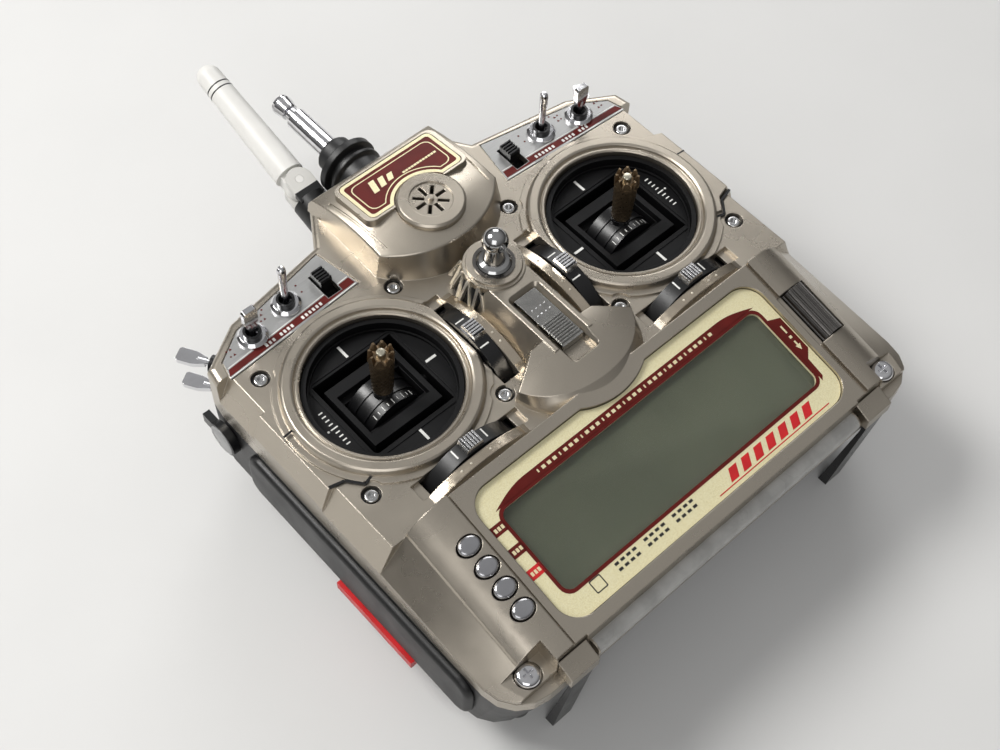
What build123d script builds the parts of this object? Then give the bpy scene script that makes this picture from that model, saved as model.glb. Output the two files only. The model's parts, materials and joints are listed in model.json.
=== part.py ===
"""Hand-held radio control transmitter, lying on its back.

Frame: the origin is midway between the two sticks, on the surface that the back rests on.
+X is to the right, +Y towards the antenna and +Z out of the control face. Millimetres.
"""
from build123d import *
from math import cos, radians, sin, tan
import os

os.makedirs("parts", exist_ok=True)

# ---- driving dimensions -------------------------------------------------------------------
DECK = 62.0  # control deck above the resting surface
PARTING = 42.0  # joint between the front and rear case halves
FLOOR = 8.0  # outer face of the rear case's floor
WALL = 2.6
HALF_WIDTH = 90.0
BOTTOM_Y = -103.0
CORNER_R = 14.0
HEAD_Y = 69.5  # back of the head block
HEAD_HALF = 25.5
HEAD_TOP = DECK + 12.0
SIDES = (("left", -1), ("right", 1))

# gimbals
GIMBAL_X = 51.8
GIMBAL_OPENING_R = 25.5
GIMBAL_RING_R = 32.0
GIMBAL_SCREW = 26.7  # half the side of the square of screws
CUP_FLOOR = DECK - 4.0
PIVOT_Z = DECK - 14.0
DRUM_R = 11.0
DRUM_HALF = 6.0
STICK_TOP = DECK + 21.0
PIN_CLEARANCE = 0.05

# display panel, which slopes down towards the bottom edge
SLOPE = 11.95
PANEL_TOP_Y = -44.0
PANEL_TOP_Z = DECK + 6.0
PANEL_DEPTH = 2.4  # label below the frame's surface
LABEL_HALF = 60.5
LABEL_YS = (-95.0, -48.4)
WINDOW_HALF = 55.0
WINDOW_YS = (-87.0, -57.0)

# front case details
SKIRT = 5.0
RIM_R = 2.6
SHOULDER_FOOT_Z = 51.0
FRAME_BOTTOM_Y = -99.6
BOSS_FOOT_Y = -51.4
BOSS_DOME_R = 71.7
HEAD_DOME_R = 78.0
BADGE_Y = 52.4
BADGE_TILT = -7.6
SPEAKER_Y = 37.2
GRILLE_R = 11.5

# trims: a black drum with a tab, beside a fixed gold arch, in one pocket
TRIM_DRUM_R = 20.0
TRIM_RISE = 5.8  # top of the drum above the deck
TRIM_WIDTH = 5.3
TRIM_GAP = 0.4
ARCH_RISE = 4.6
ARCH_HALF = 19.0
ARCH_WIDTH = 3.4
TRIM_AXLE_R = 1.5
TRIMS = (  # name, centre x, centre y, runs along x, side of the arch
    ("left_horizontal", -47.2, -35.3, True, -1),
    ("right_horizontal", 47.2, -35.3, True, -1),
    ("left_vertical", -19.8, -5.7, False, 1),
    ("right_vertical", 19.8, -5.7, False, -1),
)

# spine with the power switch, the round boss below it and the strap eyelet above it
SPINE_HALF = 7.8
SPINE_FOOT = 13.2  # half width where the flanks meet the deck
SPINE_TOP = DECK + 10.0
POWER_YS = (-37.0, -6.0)
POWER_HALF = 6.4
SLIDER_LENGTH = 24.5
EYELET_Y = 6.8
EYELET_Z = DECK + 22.5
EYELET_HOLE_R = 2.2

# switches on the wings and on the shoulders
LONG_TOGGLE = (55.5, 43.4)
FLAT_TOGGLE = (70.8, 40.5)
THUMB_SLOT = (41.0, 42.0)
BUSHING_R = 3.0
NUT_R = 5.0
SHOULDER = (81.4, 45.2)
SHOULDER_ANGLE = 59.1  # direction in which the right shoulder's levers point, from +X
SHOULDER_ZS = (("upper", 50.2), ("lower", 35.4))

# keys, roller, side levers, feet
KEY_X = 69.0
KEY_YS = (-59.2, -67.0, -74.7, -82.4)
ROLLER_X = 71.2
ROLLER_YS = (-78.2, -59.2)
ROLLER_R = 5.0
SIDE_LEVER = (32.0, 34.0)  # y and z of its axle
FOOT_X = 65.0
CORNER_SCREW = (78.2, -95.2)

# antennas
ANTENNA_Z = DECK - 9.0
ANTENNA_TIP_Y = 120.0
TUBE_R = 4.0
DUCK_X = -15.0
DUCK_START = (68.0, 38.0)  # y and z where its holder leaves the case
DUCK_TILT = 11.5
DUCK_DIRECTION = Vector(0.04, cos(radians(DUCK_TILT)), sin(radians(DUCK_TILT))).normalized()
DUCK_ORIGIN = Vector(DUCK_X, DUCK_START[0], DUCK_START[1])
KNUCKLE = 24.6  # from the duck antenna's foot to the pin that it folds on


def save(piece, name):
    """Label one finished piece and write its STEP file."""
    piece.part.label = name
    export_step(piece.part, f"parts/{name}.step")


def panel_plane(offset=0.0):
    """Plane parallel to the display panel, offset along its normal, local y up the slope."""
    normal = Vector(0, -sin(radians(SLOPE)), cos(radians(SLOPE)))
    origin = Vector(0, PANEL_TOP_Y, PANEL_TOP_Z) + normal * offset
    return Plane(origin=origin, x_dir=(1, 0, 0), z_dir=normal)


def on_panel(y):
    """Local y on the display panel's plane for a point at depth y of the frame."""
    return (y - PANEL_TOP_Y) / cos(radians(SLOPE))


def panel_z(y):
    """Height of the display frame's surface at y."""
    return PANEL_TOP_Z + (y - PANEL_TOP_Y) * tan(radians(SLOPE))


def mirrored(points):
    """Right half outline, from the centre line round to the centre line, made whole."""
    return points + [(-x, y) for x, y in reversed(points) if x > 0]


def case_outline(inset=0.0, bottom=BOTTOM_Y):
    """Corners of the case seen from the front, moved in by the inset."""
    i = inset
    corner = []
    for angle in (0, 22.5, 45, 67.5, 90):
        x = HALF_WIDTH - CORNER_R + (CORNER_R - i) * cos(radians(angle))
        corner.append((x, bottom + CORNER_R - (CORNER_R - i) * sin(radians(angle))))
    return mirrored(
        [
            (0, HEAD_Y - i),
            (HEAD_HALF - i * 0.7, HEAD_Y - i),
            (34.5 - i * 0.5, 56 - i),
            (73 - i * 0.3, 49.8 - i),
            (89 - i, 40.2 - i * 0.6),
            (HALF_WIDTH - i, 34 - i * 0.3),
            *corner,
            (0, bottom + i),
        ]
    )


def badge_plane(offset):
    """Plane of the badge on the head block's top, which falls away towards the back."""
    origin = Vector(0, BADGE_Y, HEAD_TOP + 0.36)
    normal = Vector(0, -sin(radians(BADGE_TILT)), cos(radians(BADGE_TILT)))
    return Plane(origin=origin + normal * offset, x_dir=(1, 0, 0), z_dir=normal)


def standing_cylinder(radius, height, mode=Mode.ADD):
    """Cylinder with its foot at the current place."""
    Cylinder(radius=radius, height=height, align=(Align.CENTER, Align.CENTER, Align.MIN), mode=mode)


def standing_cone(bottom_radius, top_radius, height):
    """Cone with its foot at the current place."""
    Cone(
        bottom_radius=bottom_radius,
        top_radius=top_radius,
        height=height,
        align=(Align.CENTER, Align.CENTER, Align.MIN),
    )


def standing_box(length, width, height):
    """Box with its foot at the current place."""
    Box(length, width, height, align=(Align.CENTER, Align.CENTER, Align.MIN))


def duck_plane(distance):
    """Plane across the duck antenna at a distance along it, local x to the right."""
    return Plane(origin=DUCK_ORIGIN + DUCK_DIRECTION * distance, x_dir=(1, 0, 0), z_dir=DUCK_DIRECTION)


def trim_plane(x, y, along_x, offset):
    """Plane through a trim's axle, with local x along the trim and its normal along the axle."""
    if along_x:
        return Plane(origin=(x, y + offset, 0), x_dir=(1, 0, 0), z_dir=(0, -1, 0))
    return Plane(origin=(x + offset, y, 0), x_dir=(0, 1, 0), z_dir=(1, 0, 0))


def lower_section(frame_z, side_z):
    """Cross-section of the lower body: display frame, key ridges and slanted sides."""
    with BuildLine() as line:
        Polyline((-64.4, frame_z + 0.9), (-64.4, frame_z - 0.9), (-63.6, frame_z - 0.9))
        Polyline((-63.6, frame_z - 0.9), (-63.6, frame_z), (63.6, frame_z), (63.6, frame_z - 0.9))
        Polyline((63.6, frame_z - 0.9), (64.4, frame_z - 0.9), (64.4, frame_z + 0.9))
        ThreePointArc((64.4, frame_z + 0.9), (72.4, frame_z - 0.1), (79.3, frame_z - 4.2))
        Polyline((79.3, frame_z - 4.2), (79.8, frame_z - 5.2), (89.9, side_z), (89.9, PARTING))
        Polyline((89.9, PARTING), (-89.9, PARTING), (-89.9, side_z), (-79.8, frame_z - 5.2))
        Line((-79.8, frame_z - 5.2), (-79.3, frame_z - 4.2))
        ThreePointArc((-79.3, frame_z - 4.2), (-72.4, frame_z - 0.1), (-64.4, frame_z + 0.9))
    return line


# ---- front case ---------------------------------------------------------------------------
TRIM_AXIS_Z = DECK + TRIM_RISE - TRIM_DRUM_R
arch_r = (ARCH_HALF**2 + ARCH_RISE**2) / (2 * ARCH_RISE)
SLOT_HALF = 17.6
POCKET_HALF = 21.0
POCKET_DEPTH = 1.6

with BuildPart() as roof_grooves:
    # a shallow line along each side of the domed roof
    for side in (-1, 1):
        with BuildSketch(Plane.XY.offset(DECK + 3)):
            with BuildLine():
                Polyline(
                    (side * 21.4, 33.6),
                    (side * 22.1, 33.6),
                    (side * 23.4, 61),
                    (side * 22.7, 61),
                    close=True,
                )
            make_face()
        extrude(amount=12)
    with Locations((0, 42, HEAD_TOP + 1.9 - HEAD_DOME_R)):
        Sphere(radius=HEAD_DOME_R - 0.5, mode=Mode.SUBTRACT)

with BuildPart() as head_block:
    with BuildSketch(Plane.XY.offset(DECK - 1)):
        with BuildLine():
            Polyline((-27, 33), (-HEAD_HALF - 0.8, HEAD_Y), (HEAD_HALF + 0.8, HEAD_Y), (27, 33))
            ThreePointArc((27, 33), (0, 18.2), (-27, 33))
        make_face()
    with BuildSketch(Plane.XY.offset(HEAD_TOP + 2)):
        with BuildLine():
            Polyline((-24, 33.6), (-HEAD_HALF + 1.6, HEAD_Y), (HEAD_HALF - 1.6, HEAD_Y), (24, 33.6))
            ThreePointArc((24, 33.6), (0, 22.4), (-24, 33.6))
        make_face()
    loft(ruled=True)
    # domed roof
    with Locations((0, 42, HEAD_TOP + 1.9 - HEAD_DOME_R)):
        Sphere(radius=HEAD_DOME_R, mode=Mode.INTERSECT)
    # sloping back
    with BuildSketch(Plane.YZ.offset(-40)):
        with BuildLine():
            Polyline(
                (63.4, HEAD_TOP + 4),
                (63.4, HEAD_TOP - 1),
                (67, DECK + 6.4),
                (HEAD_Y, DECK + 2.5),
                (HEAD_Y + 2, DECK + 2.5),
                (HEAD_Y + 2, HEAD_TOP + 4),
                close=True,
            )
        make_face()
    extrude(amount=80, mode=Mode.SUBTRACT)
    roof = head_block.faces().sort_by(Axis.Z)[-1]
    fillet(roof.edges(), radius=0.9)
    add(roof_grooves.part, mode=Mode.SUBTRACT)
    # raised frame round the badge
    with BuildSketch(badge_plane(-3)):
        RectangleRounded(42.4, 20.8, 3.2)
    extrude(amount=3.5)

with BuildPart() as round_boss:
    with BuildSketch(Plane.XY.offset(DECK - 1)):
        with BuildLine():
            Polyline((-24.8, -31), (-14, -24), (14, -24), (24.8, -31))
            ThreePointArc((24.8, -31), (0, BOSS_FOOT_Y), (-24.8, -31))
        make_face()
    extrude(amount=3.2)
    with BuildSketch(Plane.XY.offset(DECK + 2.2)):
        with BuildLine():
            Polyline((-24.8, -31), (-14, -24), (14, -24), (24.8, -31))
            ThreePointArc((24.8, -31), (0, BOSS_FOOT_Y), (-24.8, -31))
        make_face()
    with BuildSketch(Plane.XY.offset(DECK + 8)):
        with BuildLine():
            Polyline((-23.8, -31.8), (-13, -24.5), (13, -24.5), (23.8, -31.8))
            ThreePointArc((23.8, -31.8), (0, -43.6), (-23.8, -31.8))
        make_face()
    loft(ruled=True)
    with BuildSketch(Plane.XY.offset(DECK + 8)):
        with BuildLine():
            Polyline((-23.8, -31.8), (-13, -24.5), (13, -24.5), (23.8, -31.8))
            ThreePointArc((23.8, -31.8), (0, -43.6), (-23.8, -31.8))
        make_face()
    extrude(amount=3)
    with Locations((0, -24, SPINE_TOP + 0.2 - BOSS_DOME_R)):
        Sphere(radius=BOSS_DOME_R, mode=Mode.INTERSECT)

with BuildPart() as deck_block:
    # under the sticks and switches, with a rounded rim
    with BuildSketch(Plane.XY.offset(PARTING + SKIRT)):
        with BuildLine():
            Polyline(*case_outline(), close=True)
        make_face()
        with Locations((0, (PANEL_TOP_Y + BOTTOM_Y) / 2 - 5)):
            Rectangle(200, PANEL_TOP_Y - BOTTOM_Y + 10, mode=Mode.SUBTRACT)
    extrude(amount=DECK - PARTING - SKIRT)
    rim = deck_block.faces().sort_by(Axis.Z)[-1].edges()
    fillet([edge for edge in rim if edge.center().Y > PANEL_TOP_Y + 1], radius=RIM_R)

with BuildPart() as lower_body:
    # slopes down from the deck to the bottom edge, inside the case's outline
    with BuildSketch(Plane.XZ.offset(-PANEL_TOP_Y)):
        add(lower_section(PANEL_TOP_Z, SHOULDER_FOOT_Z).line)
        make_face()
    with BuildSketch(Plane.XZ.offset(-FRAME_BOTTOM_Y)):
        add(lower_section(panel_z(FRAME_BOTTOM_Y), PARTING + SKIRT).line)
        make_face()
    loft(ruled=True)
    with BuildSketch(Plane.XY.offset(PARTING)):
        with BuildLine():
            Polyline(*case_outline(0.1), close=True)
        make_face()
    extrude(amount=40, mode=Mode.INTERSECT)

with BuildPart() as front_case:
    # skirt all round, up to the foot of the shoulders
    with BuildSketch(Plane.XY.offset(PARTING)):
        with BuildLine():
            Polyline(*case_outline(), close=True)
        make_face()
    extrude(amount=SKIRT)
    add(deck_block.part)
    add(lower_body.part)
    # rounded bar along the bottom edge, between the feet
    with Locations((0, BOTTOM_Y + 2.4, PARTING + SKIRT + 1.2)):
        Cylinder(radius=3.3, height=2 * FOOT_X - 14, rotation=(0, 90, 0))
    # gimbal rings with their inner lip
    with BuildSketch(Plane.XZ) as ring_section:
        with BuildLine():
            Polyline(
                (GIMBAL_OPENING_R, DECK - 3),
                (GIMBAL_OPENING_R, DECK + 1.6),
                (GIMBAL_OPENING_R + 0.5, DECK + 2.1),
                (GIMBAL_OPENING_R + 1.2, DECK + 2.1),
                (GIMBAL_OPENING_R + 1.4, DECK + 1.7),
                (GIMBAL_OPENING_R + 1.7, DECK + 1.7),
                (GIMBAL_OPENING_R + 2.1, DECK + 2.7),
                (GIMBAL_OPENING_R + 2.8, DECK + 3.1),
                (GIMBAL_RING_R - 1.3, DECK + 3.1),
                (GIMBAL_RING_R - 0.6, DECK + 2.6),
                (GIMBAL_RING_R, DECK + 1.4),
                (GIMBAL_RING_R, DECK - 3),
                close=True,
            )
        make_face()
    ring = revolve(axis=Axis.Z, mode=Mode.PRIVATE)
    for side in (-1, 1):
        add(ring.moved(Location((side * GIMBAL_X, 0, 0))))
        # low platform round the ring, stepped back from the screws
        with BuildSketch(Plane.XY.offset(DECK - 1)):
            with Locations((side * GIMBAL_X, 0)):
                Circle(GIMBAL_RING_R + 2.2)
                with GridLocations(2 * GIMBAL_SCREW, 2 * GIMBAL_SCREW, 2, 2):
                    Circle(4.6, mode=Mode.SUBTRACT)
        extrude(amount=1.7)
        # raised saddle between the ring and the case's side
        with BuildSketch(Plane.XY.offset(DECK - 1)):
            with BuildLine():
                Polyline(
                    *[
                        (side * px, py)
                        for px, py in (
                            (74, -21.6),
                            (77.6, -22.6),
                            (81.4, -17.9),
                            (89, -15.8),
                            (89, 15),
                            (85.8, 16),
                            (81, 18.2),
                            (74, 20),
                        )
                    ],
                    close=True,
                )
            make_face()
        extrude(amount=2.9, taper=14)
    # head block
    add(head_block.part)
    # spine, eyelet boss and the round boss
    with BuildSketch(Plane.XZ.offset(30)):
        with BuildLine():
            Polyline(
                (-SPINE_FOOT, DECK - 2),
                (-SPINE_FOOT, DECK + 0.4),
                (-SPINE_HALF, SPINE_TOP),
                (SPINE_HALF, SPINE_TOP),
                (SPINE_FOOT, DECK + 0.4),
                (SPINE_FOOT, DECK - 2),
                close=True,
            )
        make_face()
    extrude(amount=-34)
    with BuildSketch(Plane.XY.offset(DECK - 2)):
        with Locations((0, EYELET_Y)):
            Circle(11.2)
    extrude(amount=SPINE_TOP - DECK + 2.6, taper=5)
    with BuildSketch(Plane.XY.offset(SPINE_TOP)):
        with Locations((0, EYELET_Y)):
            Circle(9.3)
    extrude(amount=1.6, taper=8)
    add(round_boss.part)
    # gold arches beside the trims
    for name, x, y, along_x, arch_side in TRIMS:
        start = arch_side * (TRIM_WIDTH / 2 + TRIM_GAP)
        with BuildSketch(trim_plane(x, y, along_x, start)):
            with Locations((0, DECK + ARCH_RISE - arch_r)):
                Circle(arch_r)
            with Locations((0, DECK - 60)):
                Rectangle(300, 116, mode=Mode.SUBTRACT)
        extrude(amount=ARCH_WIDTH * (-arch_side if along_x else arch_side))

with BuildPart() as trim_brackets:
    for name, x, y, along_x, arch_side in TRIMS:
        start = arch_side * (TRIM_WIDTH / 2 + TRIM_GAP)
        with BuildSketch(trim_plane(x, y, along_x, start)):
            with Locations((0, (DECK - 2 + TRIM_AXIS_Z - 3) / 2)):
                Rectangle(8, DECK - 2 - TRIM_AXIS_Z + 3)
            with Locations((0, TRIM_AXIS_Z)):
                Circle(TRIM_AXLE_R + PIN_CLEARANCE, mode=Mode.SUBTRACT)
        extrude(amount=2.4 * (-arch_side if along_x else arch_side))

with BuildPart() as case_cavity:
    with BuildSketch(Plane.XY.offset(PARTING - 1)):
        with BuildLine():
            Polyline(*case_outline(WALL), close=True)
        make_face()
    extrude(amount=DECK - 3 - PARTING + 1)
    with BuildSketch(Plane.YZ.offset(-100)):
        with BuildLine():
            Polyline(
                (PANEL_TOP_Y - 1, DECK),
                (PANEL_TOP_Y - 1, panel_z(PANEL_TOP_Y) - 9.5),
                (FRAME_BOTTOM_Y + 2.4, panel_z(FRAME_BOTTOM_Y) - 9),
                (FRAME_BOTTOM_Y + 2.4, PARTING + 2.6),
                (BOTTOM_Y, PARTING + 2.6),
                (BOTTOM_Y, DECK),
                close=True,
            )
        make_face()
    extrude(amount=200, mode=Mode.SUBTRACT)
    for side in (-1, 1):
        with Locations((side * 84, (PANEL_TOP_Y + BOTTOM_Y) / 2, PARTING + 12.6)):
            Box(16, 60, 20, mode=Mode.SUBTRACT)
    # slanted shoulders keep their thickness along the sides
    for side in (-1, 1):
        with BuildSketch(Plane.XZ.offset(110)):
            with BuildLine():
                Polyline((side * 81, DECK), (side * HALF_WIDTH, DECK), (side * HALF_WIDTH, 48), close=True)
            make_face()
        extrude(amount=-220, mode=Mode.SUBTRACT)
    # room for the loudspeaker in the head block
    with Locations((0, SPEAKER_Y + 2, DECK)):
        Cylinder(radius=14, height=18)

with BuildPart() as front_case_cuts:
    # slanted shoulders along both sides, except at the stepped blocks beside the sticks
    for side in (-1, 1):
        with BuildSketch(Plane.XZ.offset(-34)):
            with BuildLine():
                Polyline(
                    (side * 84.4, DECK + 1),
                    (side * 91, DECK + 1),
                    (side * 91, SHOULDER_FOOT_Z - 2),
                    close=True,
                )
            make_face()
        extrude(amount=79)
    with Locations((86, -0.4, 56), (-86, -0.4, 56)):
        Box(14, 33.4, 30, mode=Mode.SUBTRACT)
    for side in (-1, 1):
        with BuildSketch(Plane.XZ.offset(-18)):
            with BuildLine():
                Polyline((side * 85.4, DECK + 4), (side * 91, DECK + 4), (side * 91, 50.5), close=True)
            make_face()
        extrude(amount=36)
    # low corner lobes that carry the big corner screws
    for side in (-1, 1):
        with BuildSketch(Plane.XY.offset(PARTING + 7.6)):
            with Locations((side * 82, -100)):
                Rectangle(22, 16)
        extrude(amount=20)
    # gimbal openings
    with Locations((GIMBAL_X, 0, DECK), (-GIMBAL_X, 0, DECK)):
        Cylinder(radius=GIMBAL_OPENING_R, height=20)
    # counterbored screws round each gimbal
    for side in (-1, 1):
        with Locations((side * GIMBAL_X, 0, DECK)):
            with GridLocations(2 * GIMBAL_SCREW, 2 * GIMBAL_SCREW, 2, 2):
                with Locations((0, 0, -2.2)):
                    standing_cylinder(3.1, 6)
                with Locations((0, 0, -5)):
                    Cylinder(radius=1.5, height=10)
    for side in (-1, 1):
        with Locations((side * CORNER_SCREW[0], CORNER_SCREW[1], PARTING + 7.6)):
            Cylinder(radius=4.3, height=3)
            Cylinder(radius=1.9, height=30)
    # trim pockets and the slots for their drums
    for name, x, y, along_x, arch_side in TRIMS:
        low, high = -TRIM_WIDTH / 2 - TRIM_GAP, TRIM_WIDTH / 2 + TRIM_GAP
        with BuildSketch(trim_plane(x, y, along_x, low)):
            with Locations((0, DECK)):
                Rectangle(2 * SLOT_HALF, 16)
            with Locations((0, DECK + 8)):
                Rectangle(2 * POCKET_HALF, 16 + 2 * POCKET_DEPTH)
        extrude(amount=(high - low) * (-1 if along_x else 1))
    # recessed switch plates, with holes for what stands in them
    for side in (-1, 1):
        with BuildSketch(Plane.XY.offset(DECK - 0.6)):
            with BuildLine():
                Polyline(
                    *[
                        (side * px, py)
                        for px, py in ((35.6, 53.2), (32, 35), (86, 32), (84, 39.2), (73.4, 46))
                    ],
                    close=True,
                )
            make_face()
            with Locations((side * GIMBAL_X, 0)):
                Circle(GIMBAL_RING_R + 0.2, mode=Mode.SUBTRACT)
        extrude(amount=5)
        with Locations((side * THUMB_SLOT[0], THUMB_SLOT[1], DECK)):
            Box(5.6, 11, 20)
        for hole in (LONG_TOGGLE, FLAT_TOGGLE):
            with Locations((side * hole[0], hole[1], DECK)):
                Cylinder(radius=BUSHING_R + 0.1, height=20)
    # shoulder switches
    for side in (-1, 1):
        angle = SHOULDER_ANGLE if side > 0 else 180 - SHOULDER_ANGLE
        with Locations(Location((side * SHOULDER[0], SHOULDER[1], 50.2), (0, 0, angle))):
            with Locations(Location((0, 0, 0), (0, 90, 0))):
                Cylinder(radius=BUSHING_R + 0.1, height=16)
    # display recess
    label_y = (on_panel(LABEL_YS[0]) + on_panel(LABEL_YS[1])) / 2
    label_height = on_panel(LABEL_YS[1]) - on_panel(LABEL_YS[0])
    with BuildSketch(panel_plane(-PANEL_DEPTH)):
        with Locations((0, label_y)):
            RectangleRounded(2 * LABEL_HALF + 1, label_height + 1, 8)
        with BuildLine():
            ThreePointArc((-19, 0), (0, on_panel(BOSS_FOOT_Y) - 0.2), (19, 0))
            Line((-19, 0), (19, 0))
        make_face(mode=Mode.SUBTRACT)
    extrude(amount=6)
    with BuildSketch(panel_plane(-16)):
        with Locations((0, (on_panel(-58) + on_panel(-88)) / 2)):
            Rectangle(2 * WINDOW_HALF + 8, 40)
    extrude(amount=16)
    # keys and roller
    for y in KEY_YS:
        with BuildSketch(panel_plane(-16)):
            with Locations((-KEY_X, on_panel(y))):
                Ellipse(4.1, 3.3)
        extrude(amount=24)
    roller_y = (on_panel(ROLLER_YS[0]) + on_panel(ROLLER_YS[1])) / 2
    roller_length = on_panel(ROLLER_YS[1]) - on_panel(ROLLER_YS[0])
    with BuildSketch(panel_plane(-16)):
        with Locations((ROLLER_X, roller_y)):
            Rectangle(2 * ROLLER_R + 0.8, roller_length + 0.8)
    extrude(amount=24)
    with BuildSketch(panel_plane(-1.5)):
        with Locations((ROLLER_X, roller_y)):
            Rectangle(2 * ROLLER_R + 5.6, roller_length + 0.8)
    extrude(amount=10)
    with Locations(panel_plane(-3.4)):
        with Locations((ROLLER_X, roller_y, 0)):
            Cylinder(radius=1.3, height=roller_length + 5, rotation=(90, 0, 0))
    # power switch recess, with its slot
    power_y = sum(POWER_YS) / 2
    power_length = POWER_YS[1] - POWER_YS[0]
    with BuildSketch(Plane.XY.offset(SPINE_TOP - 4)):
        with Locations((0, power_y)):
            RectangleRounded(2 * POWER_HALF - 3.2, power_length - 2.6, 0.6)
    extrude(amount=4)
    with BuildSketch(Plane.XY.offset(SPINE_TOP - 1.9)):
        with Locations((0, power_y)):
            RectangleRounded(2 * POWER_HALF - 3.2, power_length - 2.6, 0.6)
    extrude(amount=3, taper=-38)
    with Locations((0, power_y + 0.9, DECK)):
        Box(5, 17, 30)
    # loudspeaker opening, badge recess and eyelet seat
    with Locations((0, SPEAKER_Y, HEAD_TOP)):
        Cylinder(radius=10.2, height=30)
    with Locations((0, SPEAKER_Y, DECK + 12.4)):
        standing_cylinder(GRILLE_R + 0.2, 9)
    with BuildSketch(badge_plane(-0.9)):
        RectangleRounded(39.0, 18.8, 2.2)
    extrude(amount=4)
    # notches for the foot caps
    for side in (-1, 1):
        with Locations((side * FOOT_X, -108.9, PARTING + SKIRT + 10)):
            Box(11.6, 20, 20)
    with Locations((0, EYELET_Y, DECK + 11)):
        Cylinder(radius=5.9, height=3.4)
        Cylinder(radius=2.6, height=40)
    # antenna tube's way through the back wall
    with Locations((0, 60, ANTENNA_Z)):
        Cylinder(radius=TUBE_R + 0.3, height=30, rotation=(90, 0, 0))
    with Locations(duck_plane(0).location):
        Cylinder(radius=3.6, height=30)

with BuildPart() as front_shell:
    add(front_case.part)
    add(case_cavity.part, mode=Mode.SUBTRACT)
    add(trim_brackets.part)
    add(front_case_cuts.part, mode=Mode.SUBTRACT)
save(front_shell, "front_case")


# ---- rear case ----------------------------------------------------------------------------
REAR_BOTTOM_Y = -95.0
BATTERY_BAY = (108.0, 42.0, -63.0)  # width, height and centre y
MODULE_BAY = (60.0, 62.0, 12.0)
POST_R = 4.0
BOARD_Z = 27.2
GRIP_YS = (-86.0, 20.0)
GRIP_ZS = (20.0, 40.6)


def shell_section(height, inset, bottom):
    """One horizontal section of the rear case."""
    with BuildSketch(Plane.XY.offset(height)) as section:
        with BuildLine():
            Polyline(*case_outline(inset, bottom), close=True)
        make_face()
    return section.sketch


def shoulder_location(side, height, distance=0.0):
    """Place on a shoulder at a distance from its wall, local z out of it and local x level."""
    angle = radians(SHOULDER_ANGLE)
    x = side * (SHOULDER[0] + distance * cos(angle))
    y = SHOULDER[1] + distance * sin(angle)
    direction = Vector(side * cos(angle), sin(angle), 0)
    return Plane(origin=(x, y, height), x_dir=(-side * sin(angle), cos(angle), 0), z_dir=direction).location


with BuildPart() as rear_shell:
    for top, bottom in (((PARTING, 0.0, BOTTOM_Y), (14.0, 0.6, REAR_BOTTOM_Y)),
                        ((14.0, 0.6, REAR_BOTTOM_Y), (FLOOR, 5.5, REAR_BOTTOM_Y))):
        add(shell_section(*top))
        add(shell_section(*bottom))
        loft(ruled=True)
    lower = (FLOOR + WALL, 5.5 + WALL, REAR_BOTTOM_Y)
    middle = (16.0, 0.6 + WALL, REAR_BOTTOM_Y)
    upper = (PARTING + 0.01, WALL, BOTTOM_Y)
    for top, bottom in ((upper, middle), (middle, lower)):
        add(shell_section(*top))
        add(shell_section(*bottom))
        loft(ruled=True, mode=Mode.SUBTRACT)
    # openings for the battery and the module
    for width, height, y in (BATTERY_BAY, MODULE_BAY):
        with Locations((0, y, FLOOR)):
            Box(width, height, 8, mode=Mode.SUBTRACT)
    # posts under the main board
    with Locations((0, -8, BOARD_Z)):
        with GridLocations(136, 72, 2, 2):
            Cylinder(radius=3, height=BOARD_Z - FLOOR - 1, align=(Align.CENTER, Align.CENTER, Align.MAX))
    # posts for the corner screws
    with Locations(*[(side * CORNER_SCREW[0], CORNER_SCREW[1] + 2.6, PARTING) for side in (-1, 1)]):
        Cylinder(radius=POST_R, height=22, align=(Align.CENTER, Align.CENTER, Align.MAX))
    with Locations(*[(side * CORNER_SCREW[0], CORNER_SCREW[1], PARTING) for side in (-1, 1)]):
        Cylinder(radius=1.9, height=36, mode=Mode.SUBTRACT)
    # holes for the lower shoulder switches, the side levers and the two antennas
    for side in (-1, 1):
        with Locations(shoulder_location(side, SHOULDER_ZS[1][1])):
            Cylinder(radius=BUSHING_R + 0.1, height=16, mode=Mode.SUBTRACT)
        with Locations(Location((side * HALF_WIDTH, SIDE_LEVER[0], SIDE_LEVER[1]), (0, 90, 0))):
            Cylinder(radius=2.06, height=12, mode=Mode.SUBTRACT)
    with Locations(duck_plane(0).location):
        Cylinder(radius=3.6, height=30, mode=Mode.SUBTRACT)
save(rear_shell, "rear_case")

with BuildPart() as battery_cover:
    with Locations((0, BATTERY_BAY[2], 0)):
        standing_box(BATTERY_BAY[0] + 6, BATTERY_BAY[1] + 6, FLOOR - 0.3)
    fillet(battery_cover.edges().filter_by(Axis.Z), radius=5)
    chamfer(battery_cover.faces().sort_by(Axis.Z)[0].edges(), length=1.6)
    offset(amount=-2, openings=battery_cover.faces().sort_by(Axis.Z)[-1:])
    with Locations((0, BATTERY_BAY[2], 1)):
        with GridLocations(32, 0, 3, 1):
            standing_box(2, BATTERY_BAY[1] + 3, FLOOR - 1.3)
    with Locations((0, BATTERY_BAY[2] - 16, 0)):
        with GridLocations(0, 2.4, 1, 5):
            Box(36, 1.2, 0.8, mode=Mode.SUBTRACT)
save(battery_cover, "battery_cover")

with BuildPart() as battery_pack:
    with Locations((0, BATTERY_BAY[2], FLOOR + 7.2)):
        with GridLocations(50.6, 14.6, 2, 2):
            Cylinder(radius=7.2, height=50.4, rotation=(0, 90, 0))
        Box(101, 22, 8)
save(battery_pack, "battery_pack")

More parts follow.
